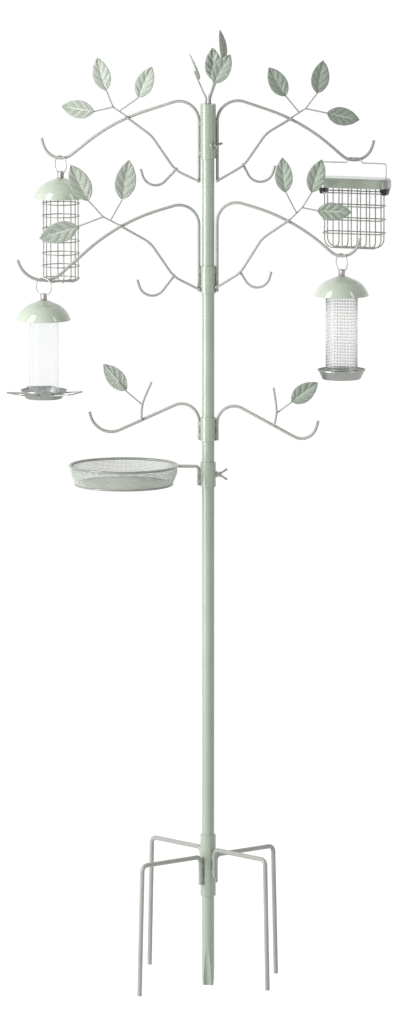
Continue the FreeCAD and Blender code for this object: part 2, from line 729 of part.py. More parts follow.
def make_collar(label, foot, length, turn, screw_level):
    """A collar with its welded nut. Its bore and the nut's hole are cut together."""
    ring = tube(f"{label}_ring", collar_outer, collar_bore, length, foot)
    boss = cylinder(f"{label}_nut", S.boss_radius, collar_outer + S.boss_length, pointing(turn, screw_level))
    blank = fuse(f"{label}_blank", [ring, boss])
    bore = cylinder(f"{label}_bore", collar_bore, length, at_height(foot))
    past = collar_outer + 2 * S.boss_length
    hole = cylinder(f"{label}_hole", S.screw_radius + S.screw_fit, past, pointing(turn, screw_level))
    return keep(cut(label, blank, [bore, hole]))


def make_screw(label, turn, level, roll=0.0):
    """A wing screw along its own Z, from its point on the pole to the ends of its wings."""
    hub = S.collar_fit + S.collar_wall + S.boss_length + S.screw_neck
    top = hub + S.hub_length
    body = turned(label, [
        (0, 0), (S.screw_radius, 0), (S.screw_radius, hub),
        (S.hub_radius, hub), (S.hub_radius, top), (0, top),
    ])
    for side, name in ((1, "right"), (-1, "left")):
        root = side * S.screw_radius * 0.5
        end = side * S.wing_reach
        corners = [
            (root, top - S.wing_root), (end, top + S.wing_rise - S.wing_tip),
            (end - side * S.wing_tip * 0.5, top + S.wing_rise), (root, top),
        ]
        sketch = draw_outline(body, f"{label}_{name}_wing", "XZ_Plane", corners, {1: side * S.wing_tip * 0.6})
        wing = body.newObject("PartDesign::Pad", f"{label}_{name}_pad")
        wing.Profile = sketch
        wing.SideType = "Symmetric"
        bind(wing, Length=S.wing_thickness)
    place = pointing(turn, level, S.pole_radius + S.screw_fit)
    return keep(body, place.multiply(Placement(Vector(), Rotation(UP, float(roll)))))


# Arms with leaves

def arm_place(side, turn, front, level):
    """The upright plane of an arm: side is 1 to the right and -1 to the left, front its distance forward."""
    angle = float(turn) if side > 0 else 180 - float(turn)
    spin = Rotation(UP, angle)
    forward = spin.multVec(Vector(0, -side, 0))
    return Placement(forward * float(front) + UP * float(level), spin)


def place_leaf(label, place, side, shape, base, slope, stem_radius):
    """A leaf in an arm's plane whose back lies on a stem there. It faces forward for the arm's own side."""
    facing = place.Rotation.multVec(Vector(0, -side, 0))
    along = place.Rotation.multVec(heading(slope))
    foot = place.multVec(base) + facing * float(stem_radius - S.weld_bite)
    return leaf(label, shape[0], shape[1], foot, along, facing)


arm_run = collar_outer + S.arm_radius - S.weld_bite


def stem_points(start, base, slope):
    return [start, base, base + heading(slope) * float(S.leaf_lap)]


def make_arm(tier, side_name, side, points, turn, level):
    """One arm: rod with its hook, branch, small hook, twigs and leaves. Returns what is grouped by tier."""
    def at(name):
        return flat_point(part_of(points, f"{name}_reach"), part_of(points, f"{name}_rise"))

    branch_front = S.arm_radius + S.branch_radius - S.weld_bite
    small_front = branch_front - 2 * S.branch_radius + S.weld_bite
    twig_front = -(S.arm_radius + S.twig_radius - S.weld_bite)
    stem_front = twig_front + 2 * S.twig_radius - S.weld_bite
    name = f"{tier}_{side_name}"
    bend_reach = part_of(points, "hook_reach") - part_of(points, "bend_back")
    run = [
        flat_point(arm_run, 0), flat_point(arm_run, part_of(points, "corner_rise")),
        flat_point(bend_reach, part_of(points, "bend_rise")),
    ]
    edges = hook_edges(
        run, [float(S.corner_bend), float(S.arm_sweep)], at("hook"),
        float(part_of(points, "hook_bend")), float(part_of(points, "hook_tail")),
    )
    keep(rod(f"{name}_arm", edges, S.arm_radius), arm_place(side, turn, 0, level))
    cross = at_reach(edges, part_of(points, "cross_reach"))

    bend = float(S.branch_bend)
    upper = at("branch_high")
    over = cross + (cross - upper).normalize() * float(S.branch_overlap)
    branch = [flat_point(arm_run, part_of(points, "branch_foot")), at("branch_low"), upper, over]
    keep(rod(f"{name}_branch", bent_edges(branch, [bend, bend]), S.branch_radius),
         arm_place(side, turn, branch_front, level))

    fork_point = bend_middle(branch[0], branch[1], branch[2], bend)
    edges = hook_edges([fork_point], [], at("small"), float(S.small_hook_bend), float(S.small_hook_tail))
    small = rod(f"{name}_small_hook", edges, S.branch_radius, arm_place(side, turn, small_front, level))

    fork = at("fork")
    inner_start = cross + (fork - cross) * float(S.fork_share)
    outer_start = bend_middle(cross, fork, at("end_leaf"), float(S.stem_bend))
    twig_start = cross - (fork - cross).normalize() * float(S.branch_overlap)
    slopes = {leaf_name: part_of(points, f"{leaf_name}_leaf_turn") for leaf_name in ("end", "inner", "outer")}
    routes = {
        "end": ([twig_start] + stem_points(fork, at("end_leaf"), slopes["end"]), twig_front),
        "inner": (stem_points(inner_start, at("inner_leaf"), slopes["inner"]), stem_front),
        "outer": (stem_points(outer_start, at("outer_leaf"), slopes["outer"]), stem_front),
    }
    shape = (part_of(points, "leaf_length"), part_of(points, "leaf_width"))
    stems, leaves = [], []
    for leaf_name, (route, front) in routes.items():
        place = arm_place(side, turn, front, level)
        bends = [float(S.stem_bend)] * (len(route) - 2)
        stems.append(rod(f"{name}_{leaf_name}_stem", bent_edges(route, bends), S.twig_radius, place))
        leaves.append(place_leaf(
            f"{name}_{leaf_name}_leaf", place, side, shape, route[-2], slopes[leaf_name], S.twig_radius
        ))
    return {"small_hooks": [small], "twigs": stems, "leaves": leaves}


def make_tier(tier, arms, turn, level):
    groups = {"small_hooks": [], "twigs": [], "leaves": []}
    for side_name, side, points in arms:
        for group, solids in make_arm(tier, side_name, side, points, turn, level).items():
            groups[group] += solids
    for group, solids in groups.items():
        keep(gather(f"{tier}_{group}", solids))


def make_upper_tier():
    foot = S.sleeve_top - S.sleeve_length
    screw_level = foot + S.sleeve_screw_height
    make_collar("upper_sleeve", foot, S.sleeve_length, S.sleeve_screw_turn, screw_level)
    make_screw("upper_wing_screw", S.sleeve_screw_turn, screw_level, S.sleeve_screw_roll)
    keep(turned("sleeve_cap", [
        (0, S.sleeve_top - S.cap_thickness), (collar_bore, S.sleeve_top - S.cap_thickness),
        (collar_bore, S.sleeve_top), (0, S.sleeve_top),
    ]))
    arms = (("left", -1, "upper_left"), ("right", 1, "upper_right"))
    make_tier("upper", arms, S.upper_arm_turn, foot - S.sleeve_run)


def make_finial():
    stems, leaves = [], []
    shape = (S.finial_leaf_length, S.finial_leaf_width)
    cap = Vector(0, 0, float(S.sleeve_top))
    for name in FINIAL_LEAVES:
        def size_of(what):
            return part_of("finial", f"{name}_{what}")

        foot = cap + round_axis(size_of("foot")) * float(S.finial_gather)
        base = cap + Vector(float(size_of("right")), float(size_of("back")), float(size_of("rise")))
        level = round_axis(size_of("direction"))
        slope = math.radians(float(size_of("slope")))
        along = level * math.cos(slope) + UP * math.sin(slope)
        towards = round_axis(size_of("face"))
        facing = (towards - along * towards.dot(along)).normalize()
        route = [foot, foot + UP * float(S.finial_straight), base, base + along * float(S.leaf_lap)]
        bend = float(S.stem_bend)
        stems.append(rod(f"finial_{name}_stem", bent_edges(route, [bend, bend]), S.finial_stem_radius))
        seat = base + facing * float(S.finial_stem_radius - S.weld_bite)
        leaves.append(leaf(f"finial_{name}_leaf", *shape, seat, along, facing))
    keep(gather("finial_stems", stems))
    keep(gather("finial_leaves", leaves))


def make_middle_tier():
    level = S.middle_collar_height + S.middle_collar_length * 0.5
    make_collar("middle_collar", S.middle_collar_height, S.middle_collar_length, S.back_screw_turn, level)
    make_screw("middle_wing_screw", S.back_screw_turn, level)
    arms = (("left", -1, "middle_left"), ("right", 1, "middle_right"))
    make_tier("middle", arms, S.middle_arm_turn, S.middle_collar_height - S.middle_run)


def make_perch_tier():
    screw_level = S.perch_collar_height + S.perch_collar_length * 0.5
    make_collar("perch_collar", S.perch_collar_height, S.perch_collar_length, S.back_screw_turn, screw_level)
    make_screw("perch_wing_screw", S.back_screw_turn, screw_level)
    level = S.perch_collar_height - S.perch_run
    run = [flat_point(arm_run, 0), flat_point(arm_run, S.perch_corner_rise)]
    twig_front = S.arm_radius + S.perch_twig_radius - S.weld_bite
    stem_front = twig_front - S.perch_twig_radius - S.twig_radius + S.weld_bite
    twigs, leaves = [], []
    for points, side, face in (("perch_left", -1, -1), ("perch_right", 1, 1)):
        turn = side * S.perch_turn

        def at(name):
            return flat_point(part_of(points, f"{name}_reach"), part_of(points, f"{name}_rise"))

        edges = hook_edges(
            run, [float(S.perch_corner_bend)], at("hook"),
            float(part_of(points, "hook_bend")), float(part_of(points, "hook_tail")),
        )
        keep(rod(f"{points}_rod", edges, S.arm_radius), arm_place(side, turn, 0, level))
        root = at_reach(edges, S.perch_twig_reach)
        bow = root + flat_point(part_of(points, "twig_bow"), part_of(points, "twig_bow_rise"))
        tip = root + flat_point(-part_of(points, "twig_lean"), S.perch_twig_height)
        bend = float(S.perch_twig_bend)
        twigs.append(rod(
            f"{points}_twig", bent_edges([root, bow, tip], [bend]), S.perch_twig_radius,
            arm_place(side, turn, twig_front, level),
        ))
        place = arm_place(side, turn, stem_front, level)
        slope = part_of(points, "leaf_turn")
        route = stem_points(bend_middle(root, bow, tip, bend), at("leaf"), slope)
        twigs.append(rod(f"{points}_stem", bent_edges(route, [float(S.stem_bend)]), S.twig_radius, place))
        shape = (part_of(points, "leaf_length"), part_of(points, "leaf_width"))
        facing = side * face
        leaves.append(place_leaf(f"{points}_leaf", place, facing, shape, at("leaf"), slope, S.twig_radius))
    keep(gather("perch_twigs", twigs))
    keep(gather("perch_leaves", leaves))


# Mesh tray

def make_tray():
    screw_level = S.tray_collar_height + S.tray_collar_length * 0.5
    make_collar("tray_collar", S.tray_collar_height, S.tray_collar_length, S.tray_screw_turn, screw_level)
    make_screw("tray_wing_screw", S.tray_screw_turn, screw_level)
    level = S.tray_collar_height + S.tray_arm_height
    run = collar_outer + S.tray_arm_radius - S.weld_bite
    end = S.tray_reach - S.tray_rim_radius - S.hoop_wire + S.weld_bite
    points = [flat_point(run, level - S.tray_arm_stub), flat_point(run, level), flat_point(end, level)]
    edges = bent_edges(points, [float(S.tray_arm_bend)])
    keep(rod("tray_arm", edges, S.tray_arm_radius), Placement(Vector(), Rotation(UP, 180)))
    middle = Placement(Vector(-float(S.tray_reach), 0, float(level)), Rotation())
    keep(six_sided_ring("tray_hoop", S.tray_rim_radius, S.hoop_wire), middle)

    rim = S.tray_rim_radius - S.hoop_wire + S.weld_bite
    rim_top = S.hoop_wire * 0.5
    floor = -S.tray_depth
    middle_floor = floor - S.tray_crown
    inner_floor = S.tray_floor_radius - S.mesh_sheet
    bowl = turned("tray_bowl_sheet", [
        (0, middle_floor), (S.tray_floor_radius, floor), (rim, -S.mesh_band), (rim, rim_top),
        (rim - S.mesh_sheet, rim_top), (rim - S.mesh_sheet, -S.mesh_band),
        (inner_floor, floor + S.mesh_sheet), (0, middle_floor + S.mesh_sheet),
    ], {1: S.tray_wall_bulge, 5: -(S.tray_wall_bulge - S.mesh_sheet)})
    pitch = float(S.mesh_gap + S.mesh_bar)
    clear = float(S.tray_floor_radius - S.mesh_band)
    reach = int(clear // pitch) + 1
    tall = S.tray_crown + 4 * S.mesh_band
    openings = []
    for column in range(-reach, reach + 1):
        for row in range(-reach, reach + 1):
            corner = (abs(column) + 0.5) * pitch, (abs(row) + 0.5) * pitch
            if math.hypot(*corner) > clear:
                continue
            near = Vector(column * pitch, row * pitch, float(middle_floor - 2 * S.mesh_band))
            near = near - Vector(float(S.mesh_gap) / 2, float(S.mesh_gap) / 2, 0)
            gap_place = Placement(near, Rotation())
            openings.append(box(f"floor_gap_{column}_{row}", S.mesh_gap, S.mesh_gap, tall, gap_place))
    for number in range(TRAY_WINDOWS):
        spin = Rotation(UP, number * 360 / TRAY_WINDOWS)
        near = spin.multVec(Vector(float(inner_floor - S.mesh_band), -float(S.mesh_gap) / 2,
                                   float(floor + S.mesh_band + S.mesh_sheet)))
        openings.append(box(
            f"wall_gap_{number}", 4 * S.mesh_gap, S.mesh_gap, S.tray_depth - 2 * S.mesh_band - S.mesh_sheet,
            Placement(near, spin),
        ))
    keep(cut("tray_mesh_bowl", bowl, openings), middle)


# Hanging feeders with a spun lid

ring_centre = -(S.ring_radius - S.ring_wire - S.arm_radius - S.hang_gap)
ferrule_top = ring_centre - S.ring_radius + S.ferrule_cover
lid_top = ferrule_top - S.ferrule_height
lid_rim = lid_top - S.lid_height


def hook_place(side, turn, level, points):
    """The lowest point of an arm's hook, with X along the rod there."""
    place = arm_place(side, turn, 0, level)
    low = flat_point(part_of(points, "hook_reach"), part_of(points, "hook_rise"))
    return place.multiply(Placement(low, Rotation()))


def below(place, size):
    return place.multiply(Placement(Vector(0, 0, float(size)), Rotation()))


def make_hanger(name, place):
    """The ring over the hook, and the ferrule that it passes through."""
    spin = Rotation(UP, float(S.ring_turn)).multiply(Rotation(Vector(0, 1, 0), 90))
    upright = Placement(Vector(0, 0, float(ring_centre)), spin)
    ring = six_sided_ring(f"{name}_ring", S.ring_radius, S.ring_wire)
    ring.Placement = upright
    way = six_sided_ring(f"{name}_ring_way", S.ring_radius, S.ring_wire + S.ring_fit)
    way.Placement = upright
    pin_foot = lid_top - 2 * S.lid_sheet
    blank = turned(f"{name}_ferrule_blank", [
        (0, pin_foot), (S.ferrule_pin, pin_foot), (S.ferrule_pin, lid_top), (S.ferrule_radius, lid_top),
        (S.ferrule_radius, ferrule_top), (0, ferrule_top),
    ])
    ferrule = cut(f"{name}_ferrule", blank, [way])
    keep(gather(f"{name}_hanger", [ring, ferrule]), place)


def dome_height(radius):
    """Height of the inside of a lid over its rim at a radius on its dome."""
    low = (S.lid_radius - S.lid_sheet, as_size(0.0))
    high = (S.lid_shoulder_radius - S.lid_sheet * 0.3, S.lid_shoulder_height - S.lid_sheet)
    dome = S.lid_dome - S.lid_sheet
    across = (high[0] - low[0]) / 2
    up = (high[1] - low[1]) / 2
    half = (across * across + up * up).root()
    rise = (dome * dome - half * half).root()
    centre = (low[0] + across - up / half * rise, low[1] + up + across / half * rise)
    off = radius - centre[0]
    return centre[1] + (dome * dome - off * off).root()


def make_lid(name, held_radius, place):
    """A spun lid with a socket under it that takes the twist lugs of what hangs below."""
    inner_shoulder = (S.lid_shoulder_radius - S.lid_sheet * 0.3, S.lid_shoulder_height - S.lid_sheet)
    shell = turned(f"{name}_dome", [
        (S.lid_radius, 0), (S.lid_shoulder_radius, S.lid_shoulder_height), (S.lid_neck_radius, S.lid_height),
        (S.ferrule_pin, S.lid_height), (S.ferrule_pin, S.lid_height - S.lid_sheet),
        (S.lid_neck_radius, S.lid_height - S.lid_sheet), inner_shoulder, (S.lid_radius - S.lid_sheet, 0),
    ], {0: S.lid_dome, 6: -(S.lid_dome - S.lid_sheet)})
    inner = held_radius + S.socket_gap
    outer = inner + S.socket_wall
    socket = turned(f"{name}_socket", [
        (inner, S.socket_height), (outer, S.socket_height),
        (outer, dome_height(outer) + S.lid_sheet * 0.5), (inner, dome_height(inner) + S.lid_sheet * 0.5),
    ])
    blank = fuse(f"{name}_lid_blank", [shell, socket])
    lug_angle = math.degrees(float(S.lug_width / outer))
    slots = []
    for number in range(TWIST_LUGS):
        first = number * 360 / TWIST_LUGS - lug_angle
        tall = S.lug_thickness + S.slot_play
        slot = cylinder(f"{name}_slot_{number}", outer + S.lug_past, tall, at_height(S.lug_height, first))
        mouth_place = at_height(0, first + float(S.slot_turn - S.slot_mouth))
        mouth = cylinder(f"{name}_slot_mouth_{number}", outer + S.lug_past, S.lug_height, mouth_place)
        bind(slot, Angle=S.slot_turn)
        bind(mouth, Angle=S.slot_mouth)
        slots += [slot, mouth]
    keep(cut(f"{name}_lid", blank, slots), below(place, lid_rim))


def make_lugs(name, held_radius):
    """Twist lugs that stand out of a tube or band into the lid's slots."""
    root = held_radius - S.lug_root
    length = S.lug_root + S.socket_gap + S.socket_wall + S.lug_past * 0.5
    lugs = []
    for number in range(TWIST_LUGS):
        spin = Rotation(UP, number * 360 / TWIST_LUGS)
        near = spin.multVec(Vector(float(root), -float(S.lug_width) / 2, float(S.lug_height + S.rest_gap)))
        lugs.append(box(f"{name}_lug_{number}", length, S.lug_width, S.lug_thickness, Placement(near, spin)))
    return lugs


def make_ball_feeder(place):
    name = "ball_feeder"
    wire = S.cage_wire
    ring_middle = S.cage_radius + 2 * wire * 0.9
    held = ring_middle + wire
    make_hanger(name, place)
    make_lid(name, held, place)
    solids = make_lugs(name, held)
    band_inner = S.cage_radius + wire - S.weld_bite
    solids.append(tube(f"{name}_band", held, band_inner, S.band_height, S.body_top - S.band_height))
    corner = float(S.cage_corner)
    floor = -S.cage_drop
    route = [
        flat_point(S.cage_radius, S.body_top), flat_point(S.cage_radius, floor),
        flat_point(S.cage_hub, floor),
    ]
    for number in range(CAGE_UPRIGHTS):
        spin = Placement(Vector(), Rotation(UP, (number + 0.5) * 360 / CAGE_UPRIGHTS))
        solids.append(rod(f"{name}_upright_{number}", bent_edges(route, [corner]), wire, spin))
    for number in range(CAGE_RINGS):
        level = floor + S.cage_corner + number * S.cage_pitch
        solids.append(six_sided_ring(f"{name}_ring_{number}", ring_middle, wire, level))
    solids.append(six_sided_ring(f"{name}_hub", S.cage_hub, wire, floor))
    keep(fuse(f"{name}_cage", solids), below(place, lid_rim))


def make_dish(name, foot, radius, floor_radius, depth, held_inner, cone_height):
    """A dish whose upstand fits inside a tube. foot is the level of the dish floor, where the tube stands."""
    base = foot - S.dish_sheet
    rim = base + depth
    spigot = held_inner - S.foot_fit
    inner_floor = floor_radius - S.dish_sheet * 0.5
    return turned(name, [
        (0, base), (floor_radius, base), (radius, rim), (radius + S.lip_width, rim),
        (radius + S.lip_width, rim + S.lip_height), (radius - S.dish_sheet, rim + S.lip_height),
        (radius - S.dish_sheet, rim), (inner_floor, foot), (spigot, foot), (spigot, foot + S.spigot_height),
        (S.cone_radius, foot + cone_height), (0, foot + cone_height),
    ])


def make_seed_feeder(place):
    name = "seed_feeder"
    hung = below(place, lid_rim)
    make_hanger(name, place)
    make_lid(name, S.tube_radius, place)
    inner = S.tube_radius - S.tube_wall
    foot = -S.tube_drop
    wall = tube(f"{name}_tube_wall", S.tube_radius, inner, S.tube_drop + S.body_top, foot)
    blank = fuse(f"{name}_tube_blank", [wall] + make_lugs(name, S.tube_radius))
    ports, loops, loop_ways = [], [], []
    dish_base = foot - S.dish_sheet
    bend = float(S.loop_bend)
    for number in range(SEED_PORTS):
        turn = number * 360 / SEED_PORTS - 90
        spin = Rotation(UP, turn)
        near = spin.multVec(Vector(0, -float(S.port_width) / 2, float(foot)))
        past = S.tube_radius + S.tube_wall
        port_place = Placement(near, spin)
        ports.append(box(f"{name}_port_{number}", past, S.port_width, S.port_height, port_place))
        low = float(dish_base + S.loop_height)
        high = low + float(S.loop_rise)
        half = float(S.loop_half_width)
        points = [
            Vector(float(S.loop_root), -half, low), Vector(float(S.loop_reach), -half, high),
            Vector(float(S.loop_reach), half, high), Vector(float(S.loop_root), half, low),
        ]
        edges = bent_edges(points, [bend, bend])
        turned_place = Placement(Vector(), spin)
        loops.append(rod(f"{name}_perch_{number}", edges, S.loop_wire, turned_place))
        loop_ways.append(rod(f"{name}_perch_way_{number}", edges, S.loop_wire + S.foot_fit, turned_place))
    keep(cut(f"{name}_tube", blank, ports), hung)
    blank = make_dish(
        f"{name}_dish_blank", foot, S.seed_dish_radius, S.seed_dish_floor, S.seed_dish_depth, inner,
        S.cone_height,
    )
    keep(cut(f"{name}_dish", blank, loop_ways), hung)
    keep(gather(f"{name}_perches", loops), hung)


def make_nut_feeder(place):
    name = "nut_feeder"
    hung = below(place, lid_rim)
    wire = S.nut_mesh_wire
    outer = S.nut_mesh_radius
    inner = outer - 2 * wire + S.weld_bite
    make_hanger(name, place)
    make_lid(name, outer, place)
    solids = make_lugs(name, outer)
    solids.append(tube(f"{name}_band", outer, outer - wire, S.band_height, S.body_top - S.band_height))
    foot = -S.nut_mesh_drop
    for number in range(NUT_RINGS):
        level = foot + number * S.nut_mesh_pitch
        solids.append(tube(f"{name}_ring_{number}", outer, outer - wire, wire, level))
    for number in range(NUT_UPRIGHTS):
        spin = Rotation(UP, number * 360 / NUT_UPRIGHTS)
        near = spin.multVec(Vector(float(inner), -float(wire) / 2, float(foot)))
        solids.append(box(
            f"{name}_upright_{number}", wire, wire, S.nut_mesh_drop + S.body_top, Placement(near, spin)
        ))
    keep(fuse(f"{name}_mesh", solids), hung)
    keep(make_dish(f"{name}_dish", foot, S.nut_dish_radius, S.nut_dish_floor, S.nut_dish_depth, inner,
                   S.spigot_height + S.foot_fit), hung)


# Suet-cake feeder

def rounded_plan(half, half_width, corner):
    """Corners of a rounded rectangle, and which of its sides are arcs."""
    corners = [
        (-half + corner, -half_width), (half - corner, -half_width),
        (half, -half_width + corner), (half, half_width - corner),
        (half - corner, half_width), (-half + corner, half_width),
        (-half, half_width - corner), (-half, -half_width + corner),
    ]
    return corners, {number: corner for number in (1, 3, 5, 7)}


def pan(label, half, half_width, height, corner, crown):
    """A block with a rounded plan and a rounded upper edge."""
    body = doc.addObject("PartDesign::Body", label)
    sketch = draw_outline(body, f"{label}_plan", "XY_Plane", *rounded_plan(half, half_width, corner))
    block = body.newObject("PartDesign::Pad", f"{label}_block")
    block.Profile = sketch
    bind(block, Length=height)
    doc.recompute()
    top = float(height)
    edges = [
        f"Edge{number}" for number, edge in enumerate(block.Shape.Edges, 1)
        if all(abs(vertex.Z - top) < 1e-6 for vertex in edge.Vertexes)
    ]
    rounded = body.newObject("PartDesign::Fillet", f"{label}_crown")
    rounded.Base = (block, edges)
    bind(rounded, Radius=crown)
    return body


def suet_loop_edges(level):
    """Middle line of one of the cage's level wire loops."""
    corners, arcs = rounded_plan(S.suet_half, S.suet_half_depth, S.suet_corner)
    points = [point_of(corner) + UP * float(level) for corner in corners]
    edges = []
    for number, start in enumerate(points):
        end = points[(number + 1) % len(points)]
        if number in arcs:
            centre = arc_centre(point_of(corners[number]), point_of(corners[(number + 1) % len(points)]),
                                float(arcs[number])) + UP * float(level)
            out = ((start - centre) + (end - centre)).normalize() * float(arcs[number])
            edges.append(Part.Arc(start, centre + out, end).toShape())
        else:
            edges.append(Part.LineSegment(start, end).toShape())
    return edges


def make_suet_feeder(place):
    name = "suet_feeder"
    hung = place.multiply(Placement(Vector(), Rotation(UP, float(S.suet_turn - S.upper_arm_turn))))
    hump = S.arm_radius + S.handle_wire + S.hang_gap
    bar = hump - S.handle_bar_drop
    lid_foot = -S.suet_lid_drop
    clip_top = lid_foot - S.hang_gap
    clip_foot = clip_top - S.clip_height
    leg_end = clip_foot + S.clip_cover
    right = [(S.hump_top, hump), (S.hump_foot, bar), (S.handle_half, bar), (S.handle_half, leg_end)]
    points = [flat_point(-across, up) for across, up in reversed(right)]
    points += [flat_point(across, up) for across, up in right]
    bend = float(S.handle_bend)
    handle_edges = bent_edges(points, [bend] * (len(points) - 2))
    keep(rod(f"{name}_handle", handle_edges, S.handle_wire), hung)

    plan = (S.suet_lid_half, S.suet_lid_half_width, S.suet_lid_height, S.suet_lid_corner, S.suet_lid_crown)
    outside = pan(f"{name}_lid_outside", *plan)
    inside = pan(f"{name}_lid_inside", *[size - S.suet_lid_sheet for size in plan])
    holes = [
        cylinder(f"{name}_lid_hole_{side}", S.handle_wire + S.leg_hole_gap, 2 * S.suet_lid_height,
                 Placement(Vector(side * float(S.handle_half), 0, 0), Rotation()))
        for side in LEAF_SIDES
    ]
    keep(cut(f"{name}_lid", outside, [inside] + holes), below(hung, lid_foot))

    wire = S.suet_wire
    lap = 2 * wire - S.weld_bite
    top = lid_foot + S.suet_lid_height - S.suet_lid_sheet - wire - S.rest_gap
    floor = lid_foot - S.suet_drop
    loops, bars, long_wires, held_ways = [], [], [], []
    for number in range(SUET_LOOPS):
        level = top - number * S.suet_pitch
        edges = suet_loop_edges(level)
        loops.append(rod(f"{name}_loop_{number}", edges, wire))
        if float(clip_foot) < float(level) < float(clip_top):
            held_ways.append(rod(f"{name}_loop_way_{number}", edges, wire + S.clip_fit))
    bar_half = S.suet_half_depth - lap
    end_half = S.suet_half - lap
    bar_floor = floor + lap
    for number in range(SUET_BARS):
        across = float(S.suet_bar_pitch) * (number - (SUET_BARS - 1) / 2)
        route = [
            Vector(across, -float(bar_half), float(top)), Vector(across, -float(bar_half), float(bar_floor)),
            Vector(across, float(bar_half), float(bar_floor)), Vector(across, float(bar_half), float(top)),
        ]
        bends = [float(S.suet_bar_bend)] * 2
        bars.append(rod(f"{name}_bar_{number}", bent_edges(route, bends), wire))
    long_edges = bent_edges([
        flat_point(-end_half, top), flat_point(-end_half, floor), flat_point(end_half, floor),
        flat_point(end_half, top),
    ], [float(S.suet_floor_bend)] * 2)
    for side in LEAF_SIDES:
        across = Placement(Vector(0, side * float(S.suet_end_half), 0), Rotation())
        long_wires.append(rod(f"{name}_long_wire_{side}", long_edges, wire, across))
        held_ways.append(rod(f"{name}_long_way_{side}", long_edges, wire + S.clip_fit, across))
    keep(gather(f"{name}_loops", loops), hung)
    keep(gather(f"{name}_bars", bars), hung)
    keep(gather(f"{name}_long_wires", long_wires), hung)

    held_ways.append(rod(f"{name}_handle_way", handle_edges, S.handle_wire + S.clip_fit))
    clips = []
    inner = end_half - wire - S.clip_cover * 0.5
    length = S.handle_half + S.handle_wire + S.clip_cover - inner
    for side in LEAF_SIDES:
        spin = Rotation(UP, 0 if side > 0 else 180)
        near = spin.multVec(Vector(float(inner), -float(S.clip_depth) / 2, float(clip_foot)))
        block = box(f"{name}_clip_block_{side}", length, S.clip_depth, S.clip_height, Placement(near, spin))
        clips.append(cut(f"{name}_clip_{side}", block, held_ways))
    keep(gather(f"{name}_clips", clips), hung)


make_pole()
make_base()
make_upper_tier()
make_finial()
make_middle_tier()
make_perch_tier()
make_tray()
upper_level = S.sleeve_top - S.sleeve_length - S.sleeve_run
middle_level = S.middle_collar_height - S.middle_run
make_ball_feeder(hook_place(-1, S.upper_arm_turn, upper_level, "upper_left"))
make_suet_feeder(hook_place(1, S.upper_arm_turn, upper_level, "upper_right"))
make_seed_feeder(hook_place(-1, S.middle_arm_turn, middle_level, "middle_left"))
make_nut_feeder(hook_place(1, S.middle_arm_turn, middle_level, "middle_right"))

doc.recompute()
failed = [thing.Label for thing in doc.Objects if "Invalid" in thing.State or "Error" in thing.State]
if failed:
    raise RuntimeError(f"objects that did not build: {failed}")
for node in nodes:
    if node.Shape.isNull() or not node.Shape.isValid() or not node.Shape.Solids:
        raise RuntimeError(f"{node.Label} has no valid solid")
os.makedirs("parts", exist_ok=True)
for node in nodes:
    node.Shape.exportStep(f"parts/{node.Label}.step")
print(f"{len(nodes)} sub-parts written")
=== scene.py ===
import math

import bmesh
import bpy
import numpy
from mathutils import Matrix, Vector
from mathutils.bvhtree import BVHTree


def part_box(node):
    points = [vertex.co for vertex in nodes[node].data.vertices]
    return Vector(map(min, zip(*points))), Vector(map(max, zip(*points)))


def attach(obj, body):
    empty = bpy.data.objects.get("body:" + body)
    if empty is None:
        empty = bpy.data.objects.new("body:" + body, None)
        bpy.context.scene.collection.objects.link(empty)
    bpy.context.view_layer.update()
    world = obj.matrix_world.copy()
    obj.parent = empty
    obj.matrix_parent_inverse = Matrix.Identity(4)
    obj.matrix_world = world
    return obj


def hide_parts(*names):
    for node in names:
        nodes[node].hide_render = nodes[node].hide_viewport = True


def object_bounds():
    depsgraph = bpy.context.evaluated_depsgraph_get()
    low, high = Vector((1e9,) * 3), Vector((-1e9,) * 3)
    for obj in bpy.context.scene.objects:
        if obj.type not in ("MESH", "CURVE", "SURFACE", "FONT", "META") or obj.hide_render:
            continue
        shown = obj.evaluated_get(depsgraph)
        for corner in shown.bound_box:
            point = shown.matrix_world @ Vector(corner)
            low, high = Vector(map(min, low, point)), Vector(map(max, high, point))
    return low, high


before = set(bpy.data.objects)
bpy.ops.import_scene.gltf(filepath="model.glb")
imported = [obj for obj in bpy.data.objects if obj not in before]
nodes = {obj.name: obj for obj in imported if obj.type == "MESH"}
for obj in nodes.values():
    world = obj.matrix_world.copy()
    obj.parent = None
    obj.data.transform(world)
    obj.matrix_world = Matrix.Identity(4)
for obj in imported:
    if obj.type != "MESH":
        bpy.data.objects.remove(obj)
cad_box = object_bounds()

# Pole: three drawn steel tubes that push together, the lowest crimped to a fluted spike.
# All of it is sprayed with a sage powder coat, which is satin and has a faint orange peel.
SAGE = (0.385, 0.435, 0.355, 1)
SAGE_SHADE = (0.355, 0.405, 0.325, 1)
PAINT_IOR = 1.5
ROUGH_VARIES = 0.06
PEEL_DEPTH = 0.00001


